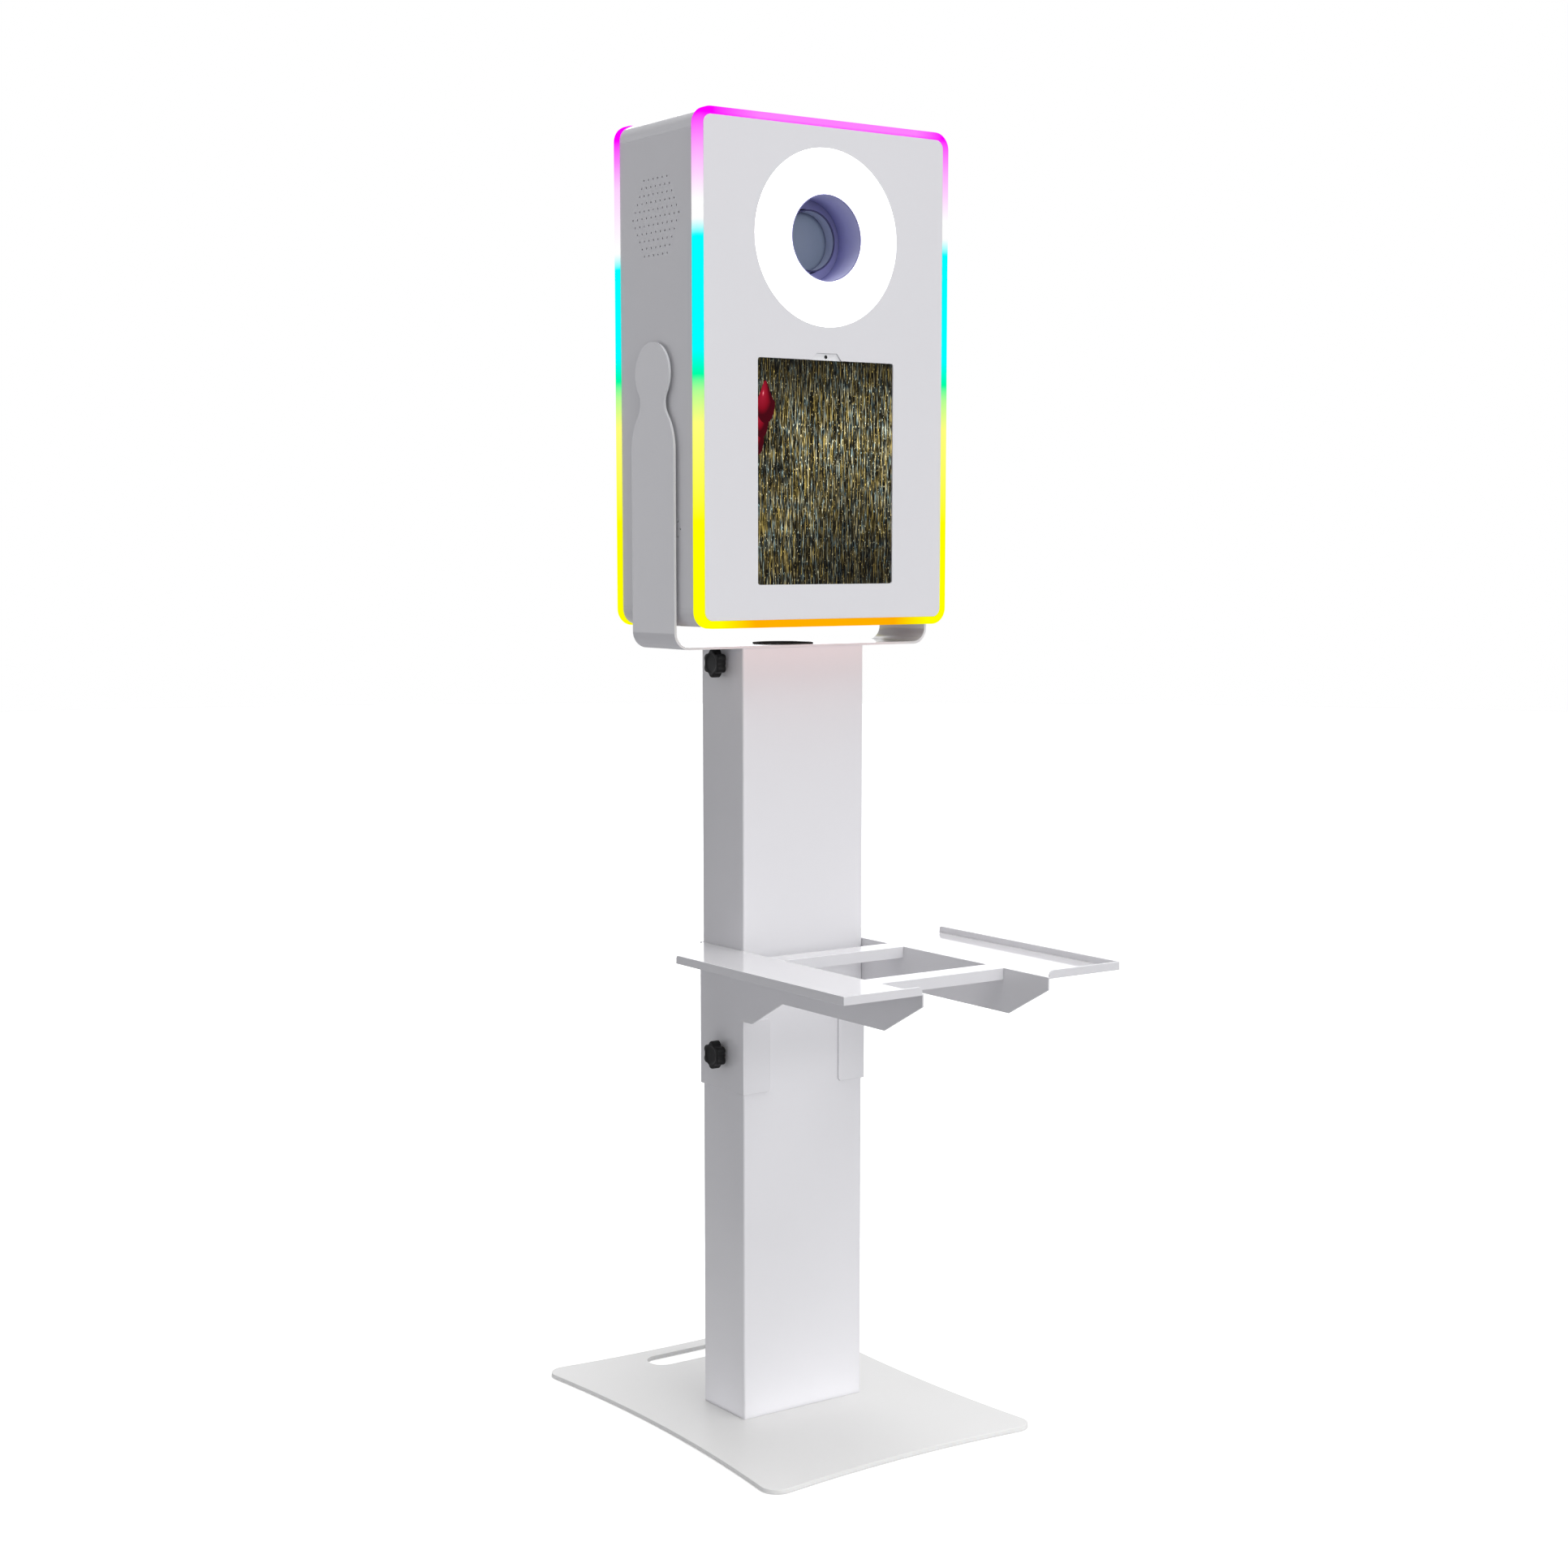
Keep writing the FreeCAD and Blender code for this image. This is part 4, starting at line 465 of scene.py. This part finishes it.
def party_screen():
    """Lit display that shows an empty tinsel curtain with red foil balloons at one side."""
    material, t, shader = blank_material("party_screen")
    place = t.add("ShaderNodeTexCoord").outputs["Object"]
    parts = t.add("ShaderNodeSeparateXYZ", None, {"Vector": place})
    x, z = parts.outputs["X"], parts.outputs["Z"]
    sway = t.noise(t.stretched(place, (6.0, 1.0, 9.0)), 1.0, 2.0)
    swayed_x = t.math("ADD", x, t.math("MULTIPLY", sway, 4.0 * MM))
    hung = t.add("ShaderNodeCombineXYZ", None, {"X": swayed_x, "Z": z}).outputs[0]
    strands = t.noise(t.stretched(hung, (560.0, 1.0, 7.0)), 1.0, 2.0, 0.6)
    dashes = t.noise(t.stretched(hung, (900.0, 1.0, 60.0)), 1.0, 2.0, 0.6)
    glints = t.noise(t.stretched(hung, (820.0, 1.0, 230.0)), 1.0, 1.0, 0.6)
    hue = t.noise(t.stretched(hung, (300.0, 1.0, 22.0)), 1.0, 1.0)
    tint = t.ramp(hue, [(0.0, (0.42, 0.30, 0.07)), (0.40, (0.62, 0.47, 0.13)), (0.47, (0.85, 0.74, 0.42)),
                        (0.53, (0.30, 0.48, 0.52)), (0.60, (0.60, 0.44, 0.12)), (1.0, (0.8, 0.7, 0.4))])
    lit = t.math("MULTIPLY", t.remap(strands, 0.43, 0.58, 0.08, 1.0), t.remap(dashes, 0.48, 0.63, 0.02, 1.0))
    spark = t.remap(glints, 0.66, 0.72, 0.0, 2.6)
    fall = t.remap(z, SCREEN_HIGH.z, SCREEN_HIGH.z - 0.080, 0.20, 1.0)
    foot = t.remap(z, SCREEN_LOW.z + 0.15, SCREEN_LOW.z, 1.0, 0.35)
    pool = t.remap(t.noise(t.stretched(place, (9.0, 1.0, 7.0)), 1.0, 2.0), 0.35, 0.65, 0.55, 1.2)
    light = t.math("MULTIPLY", t.math("MULTIPLY", fall, foot), pool)
    glow = t.math("ADD", t.math("MULTIPLY", lit, 1.5), 0.006)
    level = t.math("MULTIPLY", t.math("ADD", glow, spark), light)
    picture = t.add("ShaderNodeVectorMath", {}, {0: tint, "Scale": level}, operation="SCALE").outputs[0]
    for from_left, from_top, half_width, half_height in BALLOONS:
        centre_x = SCREEN_LOW.x + from_left * MM
        centre_z = SCREEN_HIGH.z - from_top * MM
        inside, shine = balloon_mask(t, x, z, centre_x, centre_z, half_width * MM, half_height * MM)
        foil = t.ramp(shine, [(0.0, (1.0, 0.60, 0.62)), (0.07, (0.70, 0.09, 0.13)),
                              (0.16, (0.36, 0.010, 0.03)), (0.7, (0.24, 0.002, 0.012)),
                              (1.0, (0.06, 0.0, 0.004))])
        picture = t.mix(inside, picture, foil)
    shader.inputs["Base Color"].default_value = (0.002, 0.002, 0.0025, 1)
    t.tree.links.new(picture, shader.inputs["Emission Color"])
    shader.inputs["Emission Strength"].default_value = 1.0
    shader.inputs["Roughness"].default_value = 0.12
    shader.inputs["Specular IOR Level"].default_value = 0.08
    return material


WHITE_COAT = white_coat()
TRAY_COAT = tray_coat()
BASE_COAT = base_coat()
PANEL_COAT = panel_coat()
BLACK_PLASTIC = black_plastic()
CAMERA_SKIN = camera_skin()
PAD_RUBBER = pad_rubber()
SLIDE_PLASTIC = slide_plastic()
ZINC_PLATE = zinc_plate()
POLISHED_PLATE = polished_plate()
BOARD_WHITE = board_white()
TABLET_SHELL = tablet_shell()
TUNNEL_VIOLET = tunnel_violet()
LENS_COATING = lens_coating()
LENS_BARREL = lens_barrel()
LIGHT_DISC = light_disc()
FRONT_EDGE_LIGHT = edge_light("front_edge_light", 0.012, 0.175, 0.243)
REAR_EDGE_LIGHT = edge_light("rear_edge_light", 0.034, 0.24, 0.285)
PARTY_SCREEN = party_screen()


# ---------------------------------------------------------------- making pieces

def add_piece(name, mesh, body, material):
    piece = bpy.data.objects.new(name, mesh)
    bpy.context.scene.collection.objects.link(piece)
    mesh.materials.clear()
    mesh.materials.append(material)
    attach(piece, body)
    return piece


def smooth(mesh, angle):
    """Rounded shading, with edges sharper than the angle kept crisp."""
    for polygon in mesh.polygons:
        polygon.use_smooth = True
    mesh.set_sharp_from_angle(angle=math.radians(angle))


def body_of(node):
    for body, members in frame["record"]["behaviour"]["bodies"].items():
        if node in members:
            return body


SHARP_EDGE = 25.0              # degrees between two faces, from which their edge is rounded


def refined(node, material, edge=0.6 * MM, segments=3):
    """The CAD part's own shape with its sharp edges rounded, which stands for the part."""
    source = NODES[node].data
    work = bmesh.new()
    corners = [work.verts.new(v.co) for v in source.vertices]
    for polygon in source.polygons:
        ring = [corners[i] for i in polygon.vertices]
        if len(set(ring)) > 2 and work.faces.get(ring) is None:
            work.faces.new(ring)
    bmesh.ops.remove_doubles(work, verts=work.verts, dist=0.002 * MM)
    bmesh.ops.dissolve_limit(work, angle_limit=math.radians(0.6), verts=work.verts, edges=work.edges)
    bmesh.ops.recalc_face_normals(work, faces=work.faces)
    mesh = bpy.data.meshes.new(node + "_shape")
    work.to_mesh(mesh)
    work.free()
    draft = bpy.data.objects.new("draft", mesh)
    bpy.context.scene.collection.objects.link(draft)
    bevel = draft.modifiers.new("edges", "BEVEL")
    bevel.width = edge
    bevel.segments = segments
    bevel.limit_method = "ANGLE"
    bevel.angle_limit = math.radians(SHARP_EDGE)
    bevel.use_clamp_overlap = True
    bevel.miter_outer = "MITER_ARC"
    even = draft.modifiers.new("even", "WEIGHTED_NORMAL")
    even.keep_sharp = True
    even.weight = 80
    smooth(mesh, 40.0)
    bpy.context.view_layer.update()
    ready = bpy.data.meshes.new_from_object(draft.evaluated_get(bpy.context.evaluated_depsgraph_get()))
    bpy.data.objects.remove(draft)
    piece = add_piece(node + "_piece", ready, body_of(node), material)
    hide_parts(node)
    return piece


def paint(node, material):
    """Gives a CAD part that keeps its own shape a finish."""
    mesh_slots = NODES[node].material_slots
    if not mesh_slots:
        NODES[node].data.materials.append(material)
    for holder in mesh_slots:
        holder.material = material


def lathe(name, profile, centre, axis, body, material, turns):
    """A turned piece: (distance along the axis, radius) points, swept round. Closed at radius zero."""
    work = bmesh.new()
    rings = []
    for along, radius in profile:
        if radius <= 1e-9:
            rings.append([work.verts.new((0, 0, along))])
        else:
            rings.append([work.verts.new((radius * math.cos(2 * math.pi * i / turns),
                                          radius * math.sin(2 * math.pi * i / turns), along))
                          for i in range(turns)])
    for a, b in zip(rings, rings[1:]):
        for i in range(turns):
            j = (i + 1) % turns
            corners = [a[i % len(a)], a[j % len(a)], b[j % len(b)], b[i % len(b)]]
            unique = list(dict.fromkeys(corners))
            if len(unique) > 2:
                work.faces.new(unique)
    bmesh.ops.recalc_face_normals(work, faces=work.faces)
    turn = Vector((0, 0, 1)).rotation_difference(Vector(axis)).to_matrix().to_4x4()
    bmesh.ops.transform(work, matrix=Matrix.Translation(centre) @ turn, verts=work.verts)
    mesh = bpy.data.meshes.new(name)
    work.to_mesh(mesh)
    work.free()
    smooth(mesh, 32.0)
    return add_piece(name, mesh, body, material)


# ---------------------------------------------------------------- star knobs

def star_knob(name, node, body):
    """Six-lobed grip with soft lobes, a rolled rim and a dished cap."""
    low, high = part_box(node)
    centre = (low + high) / 2
    thick = high.x - low.x
    reach = (high.z - low.z) / 2
    valley = 3.7 * MM          # depth of the hollows between the lobes
    rim = 2.2 * MM             # rounding of the outer rim
    foot = 1.0 * MM            # rounding at the column's side
    dish = 1.3 * MM            # depth of the dished cap
    cap_share = 0.86           # how far out the cap's flat ring starts
    round_over = 0.27          # share over which the lobes fade into a round dish
    bore = 4.4 * MM
    turns = 144

    def outline(angle, inset):
        wave = 0.5 - 0.5 * math.cos(6 * angle)
        return reach - valley * wave ** 1.25 - inset

    profile = [(foot - foot * math.cos(math.radians(a)), foot - foot * math.sin(math.radians(a)))
               for a in (0, 30, 60, 90)]
    profile += [(thick - rim + rim * math.sin(math.radians(a)), rim - rim * math.cos(math.radians(a)))
                for a in (0, 20, 40, 60, 80)]
    work = bmesh.new()
    rings = []
    for along, inset in profile:
        ring = []
        for i in range(turns):
            angle = 2 * math.pi * i / turns
            radius = outline(angle, inset)
            ring.append(work.verts.new((along, radius * math.sin(angle), radius * math.cos(angle))))
        rings.append(ring)
    top_inset = profile[-1][1]
    cap = ((thick - 0.05 * MM, 0.80), (thick, 0.71), (thick - 0.15 * MM, 0.66), (thick - 0.9 * MM, 0.60),
           (thick - 1.15 * MM, 0.50), (thick - dish, 0.25))
    for along, share in cap:
        ring = []
        for i in range(turns):
            angle = 2 * math.pi * i / turns
            roundness = min(1.0, (1.0 - share) / round_over)
            lobed = outline(angle, top_inset) * share / cap_share
            radius = lobed * (1 - roundness) + reach * share * roundness
            ring.append(work.verts.new((along, radius * math.sin(angle), radius * math.cos(angle))))
        rings.append(ring)
    for a, b in zip(rings, rings[1:]):
        for i in range(turns):
            j = (i + 1) % turns
            work.faces.new((a[i], a[j], b[j], b[i]))
    tip = work.verts.new((thick - dish, 0, 0))
    for i in range(turns):
        work.faces.new((rings[-1][i], rings[-1][(i + 1) % turns], tip))
    steps = [2 * math.pi * i / turns for i in range(turns)]
    back = [work.verts.new((0, bore * math.sin(step), bore * math.cos(step))) for step in steps]
    deep = [work.verts.new((thick * 0.7, v.co.y, v.co.z)) for v in back]
    for i in range(turns):
        j = (i + 1) % turns
        work.faces.new((back[i], back[j], rings[0][j], rings[0][i]))
        work.faces.new((deep[i], deep[j], back[j], back[i]))
    work.faces.new(deep)
    bmesh.ops.recalc_face_normals(work, faces=work.faces)
    outwards = Matrix.Translation((high.x, centre.y, centre.z)) @ Matrix.Rotation(math.pi, 4, "Z")
    bmesh.ops.transform(work, matrix=outwards, verts=work.verts)
    mesh = bpy.data.meshes.new(name)
    work.to_mesh(mesh)
    work.free()
    smooth(mesh, 38.0)
    piece = add_piece(name, mesh, body, BLACK_PLASTIC)
    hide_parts(node)
    return piece


def knobs():
    star_knob("upper_star_grip", "upper_knob_grip", "upper_knob")
    star_knob("lower_star_grip", "lower_knob_grip", "lower_knob")
    for node in ("upper_knob_boss", "lower_knob_boss"):
        refined(node, BLACK_PLASTIC, 0.4 * MM)
    for node in ("upper_knob_stud", "lower_knob_stud"):
        paint(node, ZINC_PLATE)


# ---------------------------------------------------------------- stand, mast, tray

def stand():
    refined("base_plate", BASE_COAT, 0.5 * MM)
    refined("column", WHITE_COAT, 0.5 * MM)
    for node in ("base_pads", "cable_exit_grommet", "cable_grommet"):
        refined(node, PAD_RUBBER, 0.3 * MM, 2)
    for node in ("column_foot", "base_bolts", "mast_top_plate", "pivot_studs"):
        paint(node, ZINC_PLATE)
    refined("yoke_screws", WHITE_COAT, 0.1 * MM, 1)
    refined("pivot_nuts", ZINC_PLATE, 0.6 * MM, 2)
    for node in ("mast_guide", "mast_slider"):
        refined(node, SLIDE_PLASTIC, 0.5 * MM, 2)
    refined("mast_tube", WHITE_COAT, 0.4 * MM)
    refined("yoke", TRAY_COAT, 1.0 * MM, 4)


def tray():
    refined("tray_left_wing", TRAY_COAT, 0.6 * MM)
    refined("tray_right_wing", TRAY_COAT, 0.6 * MM)
    refined("tray_back_plate", WHITE_COAT, 0.4 * MM)
    refined("tray_crossbars", TRAY_COAT, 0.6 * MM)


# ---------------------------------------------------------------- head

def head_shell():
    refined("top_cover", TRAY_COAT, 0.12 * MM, 2)
    refined("bottom_cover", WHITE_COAT, 0.25 * MM, 2)
    for node in ("left_side_panel", "right_side_panel", "front_frame", "rear_frame"):
        paint(node, WHITE_COAT)
    refined("front_panel", PANEL_COAT, 0.35 * MM, 2)
    refined("connector_panel", WHITE_COAT, 0.5 * MM)
    refined("rear_door", WHITE_COAT, 0.6 * MM)
    refined("tilt_washers", BLACK_PLASTIC, 0.3 * MM, 2)
    refined("pivot_plates", ZINC_PLATE, 0.5 * MM, 2)


def lights():
    refined("front_light_frame", FRONT_EDGE_LIGHT, 0.4 * MM)
    refined("rear_light_frame", REAR_EDGE_LIGHT, 0.4 * MM)
    for node in ("front_led_strip", "rear_led_strip", "ring_light_board"):
        paint(node, BOARD_WHITE)
    refined("ring_light_diffuser", LIGHT_DISC, 0.3 * MM)
    refined("ring_light_tray", WHITE_COAT, 0.3 * MM, 2)


def camera():
    refined("lens_tunnel", TUNNEL_VIOLET, 0.25 * MM, 2)
    refined("camera_body", CAMERA_SKIN, 1.6 * MM)
    refined("camera_shelf", WHITE_COAT, 0.6 * MM)
    refined("camera_lens", LENS_BARREL, 0.4 * MM)
    refined("lens_glass", LENS_COATING, 0.2 * MM, 2)


def tablet():
    refined("tablet_body", TABLET_SHELL, 0.4 * MM, 2)
    paint("tablet_screen", PARTY_SCREEN)
    refined("tablet_clips", BLACK_PLASTIC, 0.5 * MM, 2)
    above_screen = 4.1 * MM
    proud = 0.12 * MM
    place = Vector((0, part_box("tablet_body")[0].y - proud, SCREEN_HIGH.z + above_screen))
    profile = [(0.0, 0.0), (0.0, 1.9 * MM), (0.15 * MM, 2.3 * MM), (0.9 * MM, 2.35 * MM), (0.9 * MM, 0.0)]
    lathe("tablet_camera_eye", profile, place, (0, 1, 0), "head", BLACK_PLASTIC, 48)


def electrics():
    refined("power_supply", ZINC_PLATE, 0.6 * MM, 2)
    refined("led_controller", BLACK_PLASTIC, 1.0 * MM, 2)
    for node in ("power_inlet", "switch_housing", "power_rocker"):
        refined(node, BLACK_PLASTIC, 0.4 * MM, 2)


def rear_fittings():
    for node in ("door_hinge_leaf", "door_hinge_frame", "door_lock", "lock_cam"):
        refined(node, POLISHED_PLATE, 0.25 * MM, 2)


# ---------------------------------------------------------------- studio

def studio():
    """A round sheet of pale paper, which bounces less light the farther it lies from the booth."""
    floor_mesh = bpy.data.meshes.new("studio_floor")
    work = bmesh.new()
    bmesh.ops.create_circle(work, cap_ends=True, radius=14.0, segments=96)
    work.to_mesh(floor_mesh)
    work.free()
    floor = bpy.data.objects.new("studio_floor", floor_mesh)
    bpy.context.scene.collection.objects.link(floor)
    material, t, shader = blank_material("studio_paper")
    seen = t.add("ShaderNodeLightPath").outputs["Is Camera Ray"]
    place = t.add("ShaderNodeTexCoord").outputs["Object"]
    tone = t.ramp(t.noise(place, 3.0, 2.0), [(0.0, (0.88, 0.88, 0.88)), (1.0, (0.9, 0.9, 0.9))])
    reach = t.add("ShaderNodeVectorMath", None, {0: place}, operation="LENGTH").outputs["Value"]
    distance = t.remap(reach, 0.3, 1.0, 0.0, 1.0)
    bounce = t.ramp(distance, [(0.0, (0.75, 0.75, 0.75)), (1.0, (0.30, 0.30, 0.31))])
    t.tree.links.new(t.mix(seen, bounce, tone), shader.inputs["Base Color"])
    shader.inputs["Roughness"].default_value = 0.9
    shader.inputs["Specular IOR Level"].default_value = 0.1
    shader.inputs["Emission Color"].default_value = (1, 1, 1, 1)
    t.tree.links.new(t.math("MULTIPLY", seen, FLOOR_GLOW), shader.inputs["Emission Strength"])
    floor_mesh.materials.append(material)


def studio_light():
    """A dim room with a bright wall low behind the booth, brightest at the right, and a white backdrop."""
    world = bpy.data.worlds.new("studio_world")
    bpy.context.scene.world = world
    world.use_nodes = True
    t = Tree(world.node_tree)
    room = world.node_tree.nodes["Background"]
    out = world.node_tree.nodes["World Output"]
    way = t.add("ShaderNodeSeparateXYZ", None, {"Vector": t.add("ShaderNodeTexCoord").outputs["Generated"]})
    low = t.remap(way.outputs["Z"], 0.12, 0.45, 1.0, 0.0)
    behind = t.remap(way.outputs["Y"], 0.0, 0.6, 0.0, 1.0)
    right = t.remap(way.outputs["X"], -0.1, 0.4, 0.42, 1.0)
    wall = t.math("MULTIPLY", t.math("MULTIPLY", low, behind), right)
    t.tree.links.new(t.math("ADD", t.math("MULTIPLY", wall, WALL_GLOW), ROOM_GLOW), room.inputs["Strength"])
    room.inputs["Color"].default_value = (0.97, 0.975, 1.0, 1)
    backdrop = t.add("ShaderNodeBackground", {"Color": (1, 1, 1, 1), "Strength": 1.0})
    seen = t.add("ShaderNodeLightPath").outputs["Is Camera Ray"]
    both = t.add("ShaderNodeMixShader", None, {0: seen, 1: room.outputs[0], 2: backdrop.outputs[0]})
    t.tree.links.new(both.outputs[0], out.inputs["Surface"])


def area_lamp(name, place, aim, size, power, colour, mirrored=False):
    """A rectangle that gives light without being seen; shiny parts only mirror it where that is asked for."""
    lamp = bpy.data.lights.new(name, "AREA")
    lamp.shape = "RECTANGLE"
    lamp.size, lamp.size_y = size
    lamp.energy = power
    lamp.color = colour
    holder = bpy.data.objects.new(name, lamp)
    holder.location = place
    holder.rotation_euler = (Vector(aim) - Vector(place)).to_track_quat("-Z", "Y").to_euler()
    holder.visible_camera = False
    holder.visible_glossy = mirrored
    bpy.context.scene.collection.objects.link(holder)


def sun_lamp(name, towards, strength, spread):
    """Even light from one side; the spread is how wide the source looks, in degrees."""
    lamp = bpy.data.lights.new(name, "SUN")
    lamp.energy = strength
    lamp.angle = math.radians(spread)
    holder = bpy.data.objects.new(name, lamp)
    holder.location = Vector(towards) * 4.0
    holder.rotation_euler = Vector(towards).to_track_quat("Z", "Y").to_euler()
    bpy.context.scene.collection.objects.link(holder)


def lamps():
    # The pink cast of the edge light on the column's top
    area_lamp("edge_light_spill", (0.0, -0.10, 0.978), (0.0, -0.045, 0.91), (0.30, 0.02), 0.02,
              (1.0, 0.30, 0.34))
    # Light that the base plate throws back onto the column's foot
    above_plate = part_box("base_plate")[1].z + 1.0 * MM
    for name, x, y, size, power in (("base_bounce_front", 0.0, -0.088, (0.18, 0.08), 0.021),
                                    ("base_bounce_left", -0.132, 0.0, (0.08, 0.09), 0.012)):
        area_lamp(name, (x, y, above_plate), (x, y, 1.0), size, power, (0.97, 0.97, 1.0))
    # A window of light high behind, which the rounded top edges mirror
    area_lamp("high_softbox", (1.48, 4.33, 3.44), (-0.18, 0.0, 1.57), (1.8, 1.7), 14.0, (1.0, 1.0, 1.0),
              mirrored=True)
    sun_lamp("overhead", (0.12, -0.20, 0.97), 2.35, 55.0)
    sun_lamp("front_fill", (0.02, -0.98, 0.16), 1.43, 40.0)


def viewpoint():
    """The camera stands in front of the booth's left corner, at chest height, and looks a little down."""
    lens = bpy.data.cameras.new("viewpoint")
    lens.sensor_fit = "HORIZONTAL"
    lens.sensor_width = SENSOR_WIDTH_MM
    lens.lens = LENS_MM
    lens.shift_y = FRAME_SHIFT
    lens.clip_start = 0.05
    lens.clip_end = 60.0
    holder = bpy.data.objects.new("viewpoint", lens)
    holder.location = VIEW_PLACE
    holder.rotation_euler = (math.radians(90.0 - VIEW_DIP), 0.0, math.radians(VIEW_HEADING))
    bpy.context.scene.collection.objects.link(holder)
    bpy.context.scene.camera = holder


def colour_handling():
    view = bpy.context.scene.view_settings
    view.view_transform = "Standard"
    view.look = "None"
    view.exposure = 0.0
    view.gamma = 1.0


viewpoint()
stand()
tray()
head_shell()
lights()
camera()
tablet()
electrics()
rear_fittings()
knobs()
studio()
studio_light()
lamps()
colour_handling()
